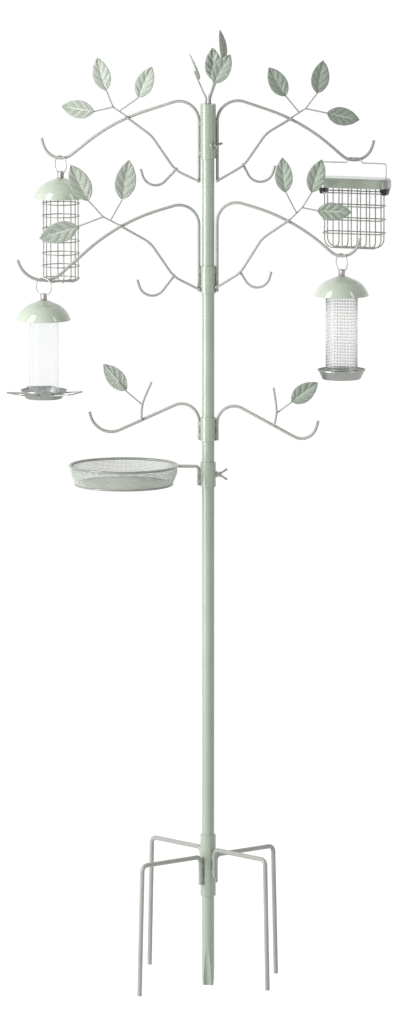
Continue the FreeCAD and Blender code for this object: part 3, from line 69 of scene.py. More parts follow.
class Tone:
    """One output of a palette's nodes. Sums and products of tones add the nodes that work them out."""

    def __init__(self, palette, socket):
        self.palette = palette
        self.socket = socket

    def math(self, operation, *values):
        return self.palette.node("ShaderNodeMath", {"operation": operation}, dict(enumerate(values)))

    def __add__(self, other):
        return self.math("ADD", self, other)

    def __sub__(self, other):
        return self.math("SUBTRACT", self, other)

    def __rsub__(self, other):
        return self.math("SUBTRACT", other, self)

    def __mul__(self, other):
        return self.math("MULTIPLY", self, other)

    def __abs__(self):
        return self.math("ABSOLUTE", self)

    def either(self, other):
        return self.math("MAXIMUM", self, other)

    def fraction(self):
        return self.math("FRACT", self)

    def above(self, level):
        return self.math("GREATER_THAN", self, level)

    def between(self, low, high):
        """A tone of 0 to 1 spread over a range."""
        return self * (high - low) + low

    def ramp(self, low, high):
        """0 below low and 1 above high, with a soft step between."""
        settings = {"interpolation_type": "SMOOTHSTEP"}
        return self.palette.node("ShaderNodeMapRange", settings, {0: self, 1: low, 2: high})

    __radd__ = __add__
    __rmul__ = __mul__


class Palette:
    """The nodes that tones are mixed with, a material's or the world's."""

    def __init__(self, tree):
        self.tree = tree

    def node(self, kind, settings, inputs, output=0):
        """Adds a node, sets it up and gives one of its outputs."""
        made = self.tree.nodes.new(kind)
        for name, value in settings.items():
            setattr(made, name, value)
        for name, value in inputs.items():
            self.join(value, made.inputs[name])
        return Tone(self, made.outputs[output])

    def join(self, value, socket):
        """Links a tone to a socket, or sets a plain value on it."""
        if isinstance(value, Tone):
            self.tree.links.new(value.socket, socket)
        else:
            socket.default_value = value


class Finish(Palette):
    """A material of nodes round one surface shader, whose even values are set on the shader itself."""

    def __init__(self, name, **even):
        self.material = bpy.data.materials.new(name)
        self.material.use_nodes = True
        super().__init__(self.material.node_tree)
        self.shader = self.tree.nodes["Principled BSDF"]
        self.set(even)

    def set(self, values):
        for name, value in values.items():
            self.join(value, self.shader.inputs[name.replace("_", " ")])

    def place(self):
        return self.node("ShaderNodeTexCoord", {}, {}, "Object")

    def noise(self, scale, detail=2.0):
        inputs = {"Vector": self.place(), "Scale": scale, "Detail": detail}
        return self.node("ShaderNodeTexNoise", {}, inputs)

    def mix(self, share, first, second):
        """Two colours mixed. The numbers are the places of the colour sockets on a Mix node."""
        return self.node("ShaderNodeMix", {"data_type": "RGBA"}, {0: share, 6: first, 7: second}, 2)

    def bump(self, height, depth, strength=1.0):
        return self.node("ShaderNodeBump", {}, {"Height": height, "Distance": depth, "Strength": strength})


def powder_coat(name, light, dark, rough, gloss=0.5, gloss_rough=0.08):
    """Sprayed paint: broad faint clouding, fine orange peel and uneven gloss."""
    coat = Finish(name, Coat_Weight=gloss, Coat_Roughness=gloss_rough, IOR=PAINT_IOR)
    cloud = coat.noise(scale=9.0, detail=3.0).ramp(0.35, 0.65)
    peel = coat.noise(scale=420.0)
    coat.set({
        "Base Color": coat.mix(cloud, light, dark),
        "Roughness": coat.noise(scale=45.0).between(rough - ROUGH_VARIES, rough + ROUGH_VARIES),
        "Normal": coat.bump(peel, PEEL_DEPTH, strength=0.1),
    })
    return coat.material


def dress(material, *names):
    """Gives a finish to CAD pieces whose shape is kept."""
    for name in names:
        nodes[name].material_slots[0].material = material


sage = powder_coat("sage_powder_coat", SAGE, SAGE_SHADE, rough=0.3, gloss=0.4, gloss_rough=0.16)
dress(sage, "pole_lower_tube", "pole_middle_tube", "pole_top_tube")

# Base: two steel collars on the pole, each with two bent leg rods welded along it and all painted.
# The rods have the same paint as the tubes. It is painted darker and greyer on them, as painted shade for
# thin rods.
SHADED_ROD_SAGE = (0.37, 0.388, 0.352, 1)
ROD_SHADE = (0.335, 0.35, 0.317, 1)

dress(sage, "lower_leg_collar", "upper_leg_collar")
# The rods' coat is a darker, greyer copy of the tubes' paint: painted shade.
shaded_rod_paint = powder_coat("rod_coat_painted_shade", SHADED_ROD_SAGE, ROD_SHADE, rough=0.38, gloss=0.25, gloss_rough=0.22)
dress(shaded_rod_paint, "front_left_leg", "back_right_leg", "front_right_leg", "back_left_leg")

# Tiers: a sleeve on the pole's end and collars further down, each with bent rods welded to its sides.
# Arms end in hooks, branches and twigs are thinner rods welded on, and all are painted as one.
dress(sage, "upper_sleeve", "sleeve_cap", "middle_collar", "perch_collar")
for tier in ("upper", "middle"):
    for hand in ("left", "right"):
        dress(shaded_rod_paint, f"{tier}_{hand}_arm", f"{tier}_{hand}_branch")
    dress(shaded_rod_paint, f"{tier}_small_hooks", f"{tier}_twigs")
dress(shaded_rod_paint, "perch_left_rod", "perch_right_rod", "perch_twigs", "finial_stems")

# Wing screws: cast wings on a steel thread, tumbled and plated dull grey.
# One clamps each collar to the pole.
PLATE_DARK = (0.22, 0.23, 0.215, 1)
PLATE_LIGHT = (0.32, 0.33, 0.31, 1)

cast = Finish("plated_casting", Metallic=1.0)
grain = cast.noise(scale=380.0, detail=4.0)
cast.set({
    "Base Color": cast.mix(grain, PLATE_DARK, PLATE_LIGHT),
    "Roughness": grain.between(0.3, 0.55),
    "Normal": cast.bump(grain, depth=0.0002, strength=0.4),
})
dress(cast.material, "upper_wing_screw", "middle_wing_screw", "perch_wing_screw", "tray_wing_screw")

# Leaves: sheet steel cut to a leaf and pressed, with a folded midrib and side veins that stand proud
# between quilted fields. Each is welded by its back to the end of a stem and painted with it.
# Those on the right are painted darker than those on the left, a painted shade with a little random tone in
# it, and all are painted paler on the veins, a painted highlight.
VEINS = 4.4
VEIN_SWEEP = 1.2
VEIN_STAGGER = 0.4
QUILT = 0.0018
QUILT_FADE = 5
FOLD_CURVE = 1.25
SHEET = 0.001
WIDEST = 0.43
TIP_HALF = 0.0006
RIM_SPAN = 0.0015
STEPS_ALONG = 48
STEPS_ACROSS = 26
SAME_POINT = 1e-6
# Lit and shaded tones of the one leaf paint: leaves are painted darker from left to right as painted shade.
LEAF_PAINTED_LIT = (0.37, 0.415, 0.35, 1)
LEAF_PAINTED_SHADE = (0.215, 0.26, 0.205, 1)
# Vein tones are painted highlights, lighter on the left and darker on the right with the painted shade.
VEIN_HIGHLIGHT_LIT = (0.72, 0.76, 0.70, 1)
VEIN_HIGHLIGHT_SHADED = (0.50, 0.54, 0.48, 1)
VEIN_HIGHLIGHT_SHARE = 0.8
VEIN_EDGES = (0.42, 0.48)
VEIN_ENDS = (0.75, 0.98)
MIDRIB_EDGES = (0.03, 0.11)
PAINTED_SHADE_SPAN = (-0.12, 0.24)
PAINTED_SHADE_VARIES = 0.08


def stand_in(name, mesh, material, body, slot, *replaced):
    """Makes a smooth piece of a mesh, and lets it ride on its body in place of the nodes it stands for."""
    data = bpy.data.meshes.new(name)
    mesh.to_mesh(data)
    mesh.free()
    data.shade_smooth()
    data.materials.append(material)
    piece = bpy.data.objects.new(name, data)
    bpy.context.scene.collection.objects.link(piece)
    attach(piece, body)
    if replaced:
        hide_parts(*replaced)
    return piece


def islands(node):
    """The separate solids of a CAD piece, as lists of points."""
    mesh = bmesh.new()
    mesh.from_mesh(node.data)
    bmesh.ops.remove_doubles(mesh, verts=mesh.verts, dist=SAME_POINT)
    known = set()
    found = []
    for start in mesh.verts:
        if start in known:
            continue
        known.add(start)
        reached = [start]
        for vert in reached:
            near = [edge.other_vert(vert) for edge in vert.link_edges]
            fresh = [other for other in near if other not in known]
            known.update(fresh)
            reached += fresh
        found.append([vert.co.copy() for vert in reached])
    mesh.free()
    return found


def middle_of(points, place, span):
    """The middle of the points that lie within a span of a place."""
    near = [point for point in points if (point - place).length < span]
    return sum(near, Vector()) / len(near)


def leaf_frame(points):
    """Base, directions along, across and out of the face, length, half width and fold of a flat leaf."""
    pairs = ((first, second) for first in points for second in points)
    base, tip = max(pairs, key=lambda pair: (pair[0] - pair[1]).length)
    base, tip = middle_of(points, base, RIM_SPAN), middle_of(points, tip, RIM_SPAN)
    along = (tip - base).normalized()

    def off_axis(point):
        return (point - base) - along * (point - base).dot(along)

    edge = max(points, key=lambda point: off_axis(point).length)
    other = max(points, key=lambda point: -off_axis(point).dot(off_axis(edge)))
    if (edge - base).dot(along) > (tip - edge).dot(along):
        base, tip, along = tip, base, -along
    edge, other = middle_of(points, edge, RIM_SPAN), middle_of(points, other, RIM_SPAN)
    across = off_axis(edge) - off_axis(other)
    half = across.length / 2
    out = off_axis(edge) + off_axis(other)
    lift = out.length / 2
    out = (out - across.normalized() * out.dot(across.normalized())).normalized()
    return base, along, out.cross(along), out, (tip - base).length, half, lift


def leaf_blade(mesh, tag, points):
    """Lays a grid where a flat leaf is and presses it to shape. Its UVs are the shares along and across."""
    base, along, across, out, length, half, lift = leaf_frame(points)
    grid = bmesh.ops.create_grid(mesh, x_segments=STEPS_ALONG, y_segments=STEPS_ACROSS, size=1.0)
    for vert in grid["verts"]:
        share, side = (vert.co.x + 1) / 2, vert.co.y
        for loop in vert.link_loops:
            loop[tag].uv = (share, (side + 1) / 2)
        far = WIDEST * length if share < WIDEST else (1 - WIDEST) * length
        bow = (far * far + half * half) / (2 * half)
        off = (share - WIDEST) * length
        wide = max(half - bow + math.sqrt(bow * bow - off * off), TIP_HALF)
        stagger = VEIN_STAGGER if side > 0 else 0
        field = abs((share * VEINS - abs(side) * VEIN_SWEEP + stagger) % 1.0 - 0.5)
        swell = 4 * abs(side) * (1 - abs(side)) * min(1, QUILT_FADE * wide / half)
        quilt = QUILT * math.cos(math.pi * field) * swell
        rise = lift * wide / half * abs(side) ** FOLD_CURVE + quilt
        vert.co = base + along * (share * length) + across * (side * wide) + out * rise


def leaf_piece(name, node, body):
    """All the pressed leaves that stand for one node."""
    mesh = bmesh.new()
    tag = mesh.loops.layers.uv.new("leaf")
    for points in islands(nodes[node]):
        leaf_blade(mesh, tag, points)
    piece = stand_in(name, mesh, blade.material, body, "sage_paint", node)
    sheet = piece.modifiers.new("sheet", "SOLIDIFY")
    sheet.thickness = SHEET
    sheet.offset = 0


blade = Finish("leaf_powder_coat", Coat_Weight=0.15, Coat_Roughness=0.3, IOR=PAINT_IOR)
spread = blade.node("ShaderNodeUVMap", {"uv_map": "leaf"}, {})
up_leaf = blade.node("ShaderNodeSeparateXYZ", {}, {0: spread}, "X")
over_leaf = blade.node("ShaderNodeSeparateXYZ", {}, {0: spread}, "Y")
off_midrib = abs(over_leaf * 2.0 - 1.0)
sweep = off_midrib * VEIN_SWEEP - over_leaf.above(0.5) * VEIN_STAGGER
off_field = abs((up_leaf * VEINS - sweep).fraction() - 0.5)
side_vein = off_field.ramp(*VEIN_EDGES) * (1 - off_midrib.ramp(*VEIN_ENDS))
midrib = 1 - off_midrib.ramp(*MIDRIB_EDGES)
vein = side_vein.either(midrib)
# Painted shade: the leaves are painted darker towards the right, with a little random tone.
to_the_right = blade.node("ShaderNodeSeparateXYZ", {}, {0: blade.place()}, "X")
painted_shade = (to_the_right + blade.noise(scale=30.0) * PAINTED_SHADE_VARIES).ramp(*PAINTED_SHADE_SPAN)
blade_tone = blade.mix(painted_shade, LEAF_PAINTED_LIT, LEAF_PAINTED_SHADE)
vein_highlight_tone = blade.mix(painted_shade, VEIN_HIGHLIGHT_LIT, VEIN_HIGHLIGHT_SHADED)
blade.set({
    # The veins and midrib are painted paler than the field: a painted highlight.
    "Base Color": blade.mix(vein * VEIN_HIGHLIGHT_SHARE, blade_tone, vein_highlight_tone),
    "Roughness": blade.noise(scale=60.0).between(0.38, 0.52),
    "Normal": blade.bump(vein, depth=0.0006, strength=0.7),
})
leaf_piece("upper_pressed_leaves", "upper_leaves", "upper_tier")
leaf_piece("finial_pressed_leaves", "finial_leaves", "upper_tier")
leaf_piece("middle_pressed_leaves", "middle_leaves", "middle_tier")
leaf_piece("perch_pressed_leaves", "perch_leaves", "perch_tier")

# Tray: a rod hoop on a welded arm, with a bowl of fine woven steel mesh soldered into it.
# The mesh is pressed to a rounded wall and a floor that sags a little, with a wire ring bound round
# the floor's edge. All of it is painted after it is made, the hoop and the ring darker than the mesh.
HOOP_WIRE = 0.0025
FOOT_WIRE = 0.002
FOOT_PROUD = 0.0012
MESH_WIRE = 0.0008
MESH_PITCH = 0.0026
FLOOR_RADIUS = 0.096
FLOOR_LEVEL = -0.037
FLOOR_SAG = 0.004
WALL_BULGE = 0.0035
MESH_SAGE = (0.54, 0.58, 0.525, 1)
MESH_SHADE = (0.49, 0.53, 0.475, 1)
HOOP_SAGE = (0.27, 0.295, 0.26, 1)
HOOP_SHADE = (0.24, 0.265, 0.235, 1)

dress(sage, "tray_collar")
dress(shaded_rod_paint, "tray_arm")
mesh_paint = powder_coat("mesh_powder_coat", MESH_SAGE, MESH_SHADE, rough=0.35)
hoop_paint = powder_coat("hoop_powder_coat", HOOP_SAGE, HOOP_SHADE, rough=0.3)
hoop_low, hoop_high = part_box("tray_hoop")
tray_middle = (hoop_low + hoop_high) / 2
hoop_middle_line = (hoop_high.x - hoop_low.x) / 2 - HOOP_WIRE


def edges_at(verts):
    """The edges that meet at some points, each once."""
    return list(dict.fromkeys(edge for vert in verts for edge in vert.link_edges))


def wire_ring(mesh, radius, wire, height, steps, sides):
    """A round wire bent to a level ring about the upright through the origin."""
    upright = Matrix.Translation((radius, 0, height)) @ Matrix.Rotation(math.pi / 2, 4, "X")
    section = bmesh.ops.create_circle(mesh, segments=sides, radius=wire, matrix=upright)["verts"]
    bmesh.ops.spin(
        mesh, geom=section + edges_at(section), cent=(0, 0, 0), axis=(0, 0, 1), angle=2 * math.pi,
        steps=steps, use_merge=True,
    )


def seal(mesh):
    """Merges doubled points and turns all faces outwards."""
    bmesh.ops.remove_doubles(mesh, verts=mesh.verts, dist=SAME_POINT)
    bmesh.ops.recalc_face_normals(mesh, faces=mesh.faces)


hoop = bmesh.new()
wire_ring(hoop, hoop_middle_line, HOOP_WIRE, height=0, steps=128, sides=14)
seal(hoop)
hoop.transform(Matrix.Translation(tray_middle))
stand_in("tray_rim_hoop", hoop, hoop_paint, "tray", "sage_paint", "tray_hoop")

rim_radius = hoop_middle_line - HOOP_WIRE
bowl = bmesh.new()
wires_round = round(2 * math.pi * rim_radius / MESH_PITCH)
rim = bmesh.ops.create_circle(bowl, segments=wires_round, radius=rim_radius)["verts"]
row_edges = edges_at(rim)
rows = round(-FLOOR_LEVEL / MESH_PITCH)
for row in range(1, rows + 1):
    drop = row / rows
    bulge = math.sin(math.pi * drop) * WALL_BULGE
    row_radius = rim_radius + (FLOOR_RADIUS - rim_radius) * drop ** 2 + bulge * (1 - drop)
    drawn_down = bmesh.ops.extrude_edge_only(bowl, edges=row_edges)["geom"]
    row_edges = [item for item in drawn_down if isinstance(item, bmesh.types.BMEdge)]
    for vert in {vert for edge in row_edges for vert in edge.verts}:
        flat = vert.co.xy.normalized() * row_radius
        vert.co = (flat.x, flat.y, FLOOR_LEVEL * drop)
cells = math.ceil(2 * FLOOR_RADIUS / MESH_PITCH)
floor_half = cells * MESH_PITCH / 2
bowl_floor = bmesh.ops.create_grid(bowl, x_segments=cells, y_segments=cells, size=floor_half)["verts"]
for vert in bowl_floor:
    vert.co.z = FLOOR_LEVEL - FLOOR_SAG * (1 - min(1, (vert.co.xy.length / FLOOR_RADIUS) ** 2))
cut_off = [vert for vert in bowl_floor if vert.co.xy.length > FLOOR_RADIUS]
bmesh.ops.delete(bowl, geom=cut_off, context="VERTS")
bmesh.ops.recalc_face_normals(bowl, faces=bowl.faces)
bmesh.ops.wireframe(
    bowl, faces=bowl.faces, thickness=MESH_WIRE, use_even_offset=True, use_boundary=True, use_replace=True,
)
bowl.transform(Matrix.Translation(tray_middle))
stand_in("tray_woven_bowl", bowl, mesh_paint, "tray", "sage_paint", "tray_mesh_bowl")

foot_ring = bmesh.new()
wire_ring(foot_ring, FLOOR_RADIUS + FOOT_PROUD, FOOT_WIRE, FLOOR_LEVEL, steps=96, sides=8)
seal(foot_ring)
foot_ring.transform(Matrix.Translation(tray_middle))
stand_in("tray_foot_ring", foot_ring, hoop_paint, "tray", "sage_paint", "tray_mesh_bowl")

# Welds: a short run of bead at the top and the bottom of each rod's straight end, where it lies along
# its collar, and a blob at each branch's ends and small hook. They are left as laid and painted over.
BEAD = 0.002
BEAD_STEP = 0.0024
BEADS_IN_RUN = 3
BEAD_PROUD = 0.0006
BEAD_ASIDE = 0.0022
WELD_INSET = 0.007
LIES_WITHIN = 0.0008
BLOB = 0.0034


def weld_runs(name, body, collars, *rods):
    """Runs of bead on both sides of rods, near the ends of the stretch that lies along the collars."""
    mesh = bmesh.new()
    collars_low = min(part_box(collar)[0].z for collar in collars)
    collars_high = max(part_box(collar)[1].z for collar in collars)
    for rod in rods:
        points = [vert.co for vert in nodes[rod].data.vertices]
        inner = min(point.xy.length for point in points)
        lying = [point for point in points if point.xy.length < inner + LIES_WITHIN]
        low = max(collars_low, min(point.z for point in lying))
        high = min(collars_high, max(point.z for point in lying))
        out = sum((point.xy for point in lying), Vector((0, 0))).normalized()
        beside = Vector((-out.y, out.x))
        for side in (-1, 1):
            spot = out * (inner + BEAD_PROUD) + beside * side * BEAD_ASIDE
            for start, step in ((low + WELD_INSET, BEAD_STEP), (high - WELD_INSET, -BEAD_STEP)):
                for number in range(BEADS_IN_RUN):
                    place = Matrix.Translation((spot.x, spot.y, start + number * step))
                    bmesh.ops.create_icosphere(mesh, subdivisions=2, radius=BEAD, matrix=place)
    stand_in(name, mesh, shaded_rod_paint, body, "sage_paint")


def branch_welds(name, body, tier):
    """A blob of weld at both ends of each branch and where a small hook leaves it."""
    mesh = bmesh.new()
    spots = []
    hooks = islands(nodes[f"{tier}_small_hooks"])
    for hand, sign in (("left", -1), ("right", 1)):
        data = nodes[f"{tier}_{hand}_branch"].data
        branch = [vert.co for vert in data.vertices]
        for end in (min, max):
            spots.append(middle_of(branch, end(branch, key=lambda point: point.xy.length), 2 * BLOB))
        surface = BVHTree.FromPolygons(branch, [face.vertices for face in data.polygons])
        for hook in hooks:
            if hook[0].x * sign > 0:
                root = min(hook, key=lambda point: surface.find_nearest(point)[3])
                spots.append(middle_of(hook, root, 2 * BLOB))
    for spot in spots:
        bmesh.ops.create_icosphere(mesh, subdivisions=3, radius=BLOB, matrix=Matrix.Translation(spot))
    stand_in(name, mesh, shaded_rod_paint, body, "sage_paint")


weld_runs("upper_arm_welds", "upper_tier", ["upper_sleeve"], "upper_left_arm", "upper_right_arm")
weld_runs("middle_arm_welds", "middle_tier", ["middle_collar"], "middle_left_arm", "middle_right_arm")
weld_runs("perch_rod_welds", "perch_tier", ["perch_collar"], "perch_left_rod", "perch_right_rod")
weld_runs("tray_arm_welds", "tray", ["tray_collar"], "tray_arm")
weld_runs("leg_welds", "stand", ["lower_leg_collar", "upper_leg_collar"],
          "front_left_leg", "back_right_leg", "front_right_leg", "back_left_leg")
branch_welds("upper_branch_welds", "upper_tier", "upper")
branch_welds("middle_branch_welds", "middle_tier", "middle")

# Fat-ball feeder: a ring through a crimped ferrule on a spun steel lid, and a welded wire cage that
# locks into the lid with a twist. Lid and cage are painted, the lid in gloss.
RING_WIRE = 0.0012
FERRULE_CRIMPS = 10
CRIMP_SHARE = 0.05
FERRULE_FOOT = 0.002
FERRULE_ROUND = 0.0008
LID_RADIUS = 0.054
LID_BEAD = 0.0011
LID_BEAD_INSET = 0.6 * LID_BEAD
LID_SAGE = (0.53, 0.59, 0.49, 1)
LID_SHADE = (0.505, 0.565, 0.465, 1)
CAGE_SAGE = (0.26, 0.285, 0.245, 1)
CAGE_SHADE = (0.23, 0.25, 0.215, 1)
WIRE_DARK = (0.30, 0.295, 0.285, 1)
WIRE_LIGHT = (0.44, 0.435, 0.42, 1)
FERRULE_DARK = (0.25, 0.24, 0.22, 1)
FERRULE_LIGHT = (0.36, 0.35, 0.33, 1)

lid_paint = powder_coat("lid_gloss_coat", LID_SAGE, LID_SHADE, rough=0.11)
cage_paint = powder_coat("cage_powder_coat", CAGE_SAGE, CAGE_SHADE, rough=0.4)
bright = Finish("bright_drawn_wire", Metallic=1.0)
drawn = bright.noise(scale=240.0, detail=3.0)
bright.set({
    "Base Color": bright.mix(drawn, WIRE_DARK, WIRE_LIGHT),
    "Roughness": drawn.between(0.3, 0.5),
    "Normal": bright.bump(drawn, depth=0.0001, strength=0.3),
})
ferrule_steel = Finish("crimped_ferrule", Metallic=1.0)
crimp = ferrule_steel.noise(scale=420.0, detail=3.0)
ferrule_steel.set({
    "Base Color": ferrule_steel.mix(crimp, FERRULE_DARK, FERRULE_LIGHT),
    "Roughness": crimp.between(0.3, 0.5),
    "Normal": ferrule_steel.bump(crimp, depth=0.00008),
})


def hanger(feeder, body):
    """A closed wire ring, and the ferrule that is crimped round it and riveted through the lid."""
    solids = sorted(islands(nodes[f"{feeder}_hanger"]), key=lambda points: max(point.z for point in points))
    ferrule_spots, ring_spots = (numpy.array(points) for points in solids)
    centre = (ring_spots.max(0) + ring_spots.min(0)) / 2
    thinnest = numpy.linalg.eigh(numpy.cov((ring_spots - centre).T))[1][:, 0]
    middle_line = numpy.linalg.norm(ring_spots - centre, axis=1).max() - RING_WIRE
    ring = bmesh.new()
    wire_ring(ring, middle_line, RING_WIRE, height=0, steps=72, sides=10)
    seal(ring)
    facing = Vector(thinnest).to_track_quat("Z", "Y").to_matrix().to_4x4()
    ring.transform(Matrix.Translation(centre) @ facing)
    stand_in(f"{feeder}_ring", ring, bright.material, body, "bare_steel", f"{feeder}_hanger")

    low, high = Vector(ferrule_spots.min(0)), Vector(ferrule_spots.max(0))
    radius = (high.x - low.x) / 2
    middle = (low + high) / 2
    foot = low.z + FERRULE_FOOT
    upright = Matrix.Translation((middle.x, middle.y, (foot + high.z) / 2))
    ferrule = bmesh.new()
    bmesh.ops.create_cone(
        ferrule, cap_ends=True, segments=4 * FERRULE_CRIMPS, radius1=radius, radius2=radius,
        depth=high.z - foot, matrix=upright,
    )
    for vert in ferrule.verts:
        out = Vector((vert.co.x - middle.x, vert.co.y - middle.y, 0))
        turn = math.atan2(out.y, out.x)
        vert.co -= out * CRIMP_SHARE * (1 + math.cos(turn * FERRULE_CRIMPS))
    edges = [edge for edge in ferrule.edges if abs(edge.verts[0].co.z - edge.verts[1].co.z) < SAME_POINT]
    bmesh.ops.bevel(
        ferrule, geom=edges, offset=FERRULE_ROUND, segments=2, profile=0.5, affect="EDGES", material=-1,
    )
    stand_in(f"{feeder}_ferrule", ferrule, ferrule_steel.material, body, "bare_steel", f"{feeder}_hanger")


def rolled_edge(name, node, radius, wire, up, material, body, slot):
    """The edge of a spun piece, rolled over to a bead. up is its middle above the node's lowest point."""
    low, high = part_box(node)
    bead = bmesh.new()
    wire_ring(bead, radius, wire, low.z + up, steps=96, sides=10)
    seal(bead)
    bead.transform(Matrix.Translation(((low.x + high.x) / 2, (low.y + high.y) / 2, 0)))
    stand_in(name, bead, material, body, slot)


def hung_lid(feeder):
    """A feeder's ring and ferrule, and its gloss lid with a rolled edge."""
    body = f"{feeder}_top"
    lid = f"{feeder}_lid"
    hanger(feeder, body)
    rolled_edge(f"{lid}_bead", lid, LID_RADIUS - LID_BEAD_INSET, LID_BEAD, LID_BEAD_INSET, lid_paint, body,
                "sage_paint")
    dress(lid_paint, lid)


hung_lid("ball_feeder")
dress(cage_paint, "ball_feeder_cage")

# Seed feeder: the same ring and lid over a clear extruded tube with three ports, which stands in a
# pressed steel dish with a cone that spreads the seed. Three wire loops in the dish are the perches.
DISH_BEAD = 0.0014
DISH_BEAD_INSET = 0.8 * DISH_BEAD
CLEAR_IOR = 1.45
TUBE_EDGE = 0.35
CLEAR_COOL = (0.66, 0.69, 0.72, 1)
CLEAR_PALE = (0.72, 0.75, 0.78, 1)
STEEL_DARK = (0.27, 0.28, 0.265, 1)
STEEL_LIGHT = (0.35, 0.36, 0.34, 1)

clear = Finish("clear_tube", IOR=CLEAR_IOR)
haze = clear.noise(scale=30.0, detail=3.0)
edge_on = clear.node("ShaderNodeLayerWeight", {}, {"Blend": 0.5}, "Facing").ramp(0.5, 1.0)
clear.set({
    "Base Color": clear.mix(haze, CLEAR_COOL, CLEAR_PALE),
    "Roughness": haze.between(0.02, 0.07),
    "Alpha": edge_on * TUBE_EDGE + haze.between(0.045, 0.085),
})
steel = Finish("pressed_steel", Metallic=1.0)
spun = steel.noise(scale=150.0, detail=4.0)
steel.set({
    "Base Color": steel.mix(spun, STEEL_DARK, STEEL_LIGHT),
    "Roughness": spun.between(0.25, 0.5),
    "Normal": steel.bump(spun, depth=0.0001, strength=0.4),
})


def dish_edge(feeder):
    """The rolled edge of a feeder's dish."""
    dish = f"{feeder}_dish"
    low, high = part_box(dish)
    radius = (high.x - low.x) / 2 - DISH_BEAD
    rolled_edge(f"{dish}_bead", dish, radius, DISH_BEAD, high.z - low.z - DISH_BEAD_INSET, steel.material,
                f"{feeder}_body", "bare_steel")


hung_lid("seed_feeder")
dress(clear.material, "seed_feeder_tube")
dress(steel.material, "seed_feeder_dish", "seed_feeder_perches")
dish_edge("seed_feeder")

# Nut feeder: ring and lid again, over a tube of welded galvanised mesh that stands in a steel dish.
# The mesh has rings outside and uprights inside, close enough that a bird takes only crumbs.
NUT_RADIUS = 0.0325
NUT_WIRE = 0.0005
NUT_PITCH = 0.006
NUT_UPRIGHTS = 30
UPRIGHT_INSET = 2.6 * NUT_WIRE
ZINC_DARK = (0.60, 0.61, 0.59, 1)
ZINC_LIGHT = (0.72, 0.73, 0.71, 1)

zinc = Finish("galvanised_wire", Metallic=0.55)
frost = zinc.noise(scale=300.0, detail=3.0)
zinc.set({
    "Base Color": zinc.mix(frost, ZINC_DARK, ZINC_LIGHT),
    "Roughness": frost.between(0.45, 0.65),
    "Normal": zinc.bump(frost, depth=0.00005),
})
hung_lid("nut_feeder")
dress(steel.material, "nut_feeder_dish")
dish_edge("nut_feeder")
mesh_low, mesh_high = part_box("nut_feeder_mesh")
dish_low, dish_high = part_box("nut_feeder_dish")
nut_middle = (dish_low + dish_high) / 2
nut_tube = bmesh.new()
nut_rings = round((mesh_high.z - mesh_low.z) / NUT_PITCH) + 1
for number in range(nut_rings):
    ring_height = mesh_low.z + NUT_WIRE + number * NUT_PITCH
    wire_ring(nut_tube, NUT_RADIUS - NUT_WIRE, NUT_WIRE, ring_height, steps=60, sides=6)
seal(nut_tube)
upright_place = Matrix.Translation((NUT_RADIUS - UPRIGHT_INSET, 0, (mesh_low.z + mesh_high.z) / 2))
for number in range(NUT_UPRIGHTS):
    turn = Matrix.Rotation(2 * math.pi * number / NUT_UPRIGHTS, 4, "Z")
    bmesh.ops.create_cone(
        nut_tube, cap_ends=True, segments=6, radius1=NUT_WIRE, radius2=NUT_WIRE,
        depth=mesh_high.z - mesh_low.z, matrix=turn @ upright_place,
    )
nut_tube.transform(Matrix.Translation((nut_middle.x, nut_middle.y, 0)))
stand_in("nut_welded_mesh", nut_tube, zinc.material, "nut_feeder_body", "bare_steel", "nut_feeder_mesh")

# Suet-cake feeder: a bent wire handle whose legs run through a pressed lid into two black clips.
# The clips hold the welded cage, and the lid slides up the legs to let the cake in.
CLIP_ROUND = 0.0018
CLIP_TAPER = 0.7
CLIP_IOR = 1.46
CLIP_DARK = (0.006, 0.006, 0.007, 1)
CLIP_LIGHT = (0.014, 0.014, 0.015, 1)
PAN_SAGE = (0.30, 0.335, 0.275, 1)
PAN_SHADE = (0.28, 0.315, 0.255, 1)

pan_paint = powder_coat("pan_gloss_coat", PAN_SAGE, PAN_SHADE, rough=0.16)
moulded = Finish("moulded_black", IOR=CLIP_IOR)
fine = moulded.noise(scale=500.0, detail=3.0)
moulded.set({
    "Base Color": moulded.mix(fine, CLIP_DARK, CLIP_LIGHT),
    "Roughness": fine.between(0.35, 0.55),
    "Normal": moulded.bump(fine, depth=0.0001, strength=0.4),
})
dress(bright.material, "suet_feeder_handle")
dress(pan_paint, "suet_feeder_lid")
dress(cage_paint, "suet_feeder_loops", "suet_feeder_bars", "suet_feeder_long_wires")
left_clip, right_clip = sorted(islands(nodes["suet_feeder_clips"]), key=lambda points: points[0].x)
clip_to_clip = sum(right_clip, Vector()) / len(right_clip) - sum(left_clip, Vector()) / len(left_clip)
turned = Matrix.Rotation(math.atan2(clip_to_clip.y, clip_to_clip.x), 4, "Z")
clips = bmesh.new()
for points in (left_clip, right_clip):
    spots = numpy.array([turned.transposed() @ point for point in points])
    low, high = Vector(spots.min(0)), Vector(spots.max(0))
    block = bmesh.ops.create_cube(clips, size=1.0)["verts"]
    bmesh.ops.scale(clips, vec=high - low, verts=block)
    lower = [vert for vert in block if vert.co.z < 0]
    bmesh.ops.scale(clips, vec=(CLIP_TAPER, CLIP_TAPER, 1), verts=lower)
    bmesh.ops.translate(clips, vec=(low + high) / 2, verts=block)
    bmesh.ops.bevel(
        clips, geom=edges_at(block), offset=CLIP_ROUND, segments=3, profile=0.5, affect="EDGES",
        material=-1,
    )
clips.transform(turned)
stand_in("suet_feeder_moulded_clips", clips, moulded.material, "suet_feeder_frame", "black_clip",
         "suet_feeder_clips")

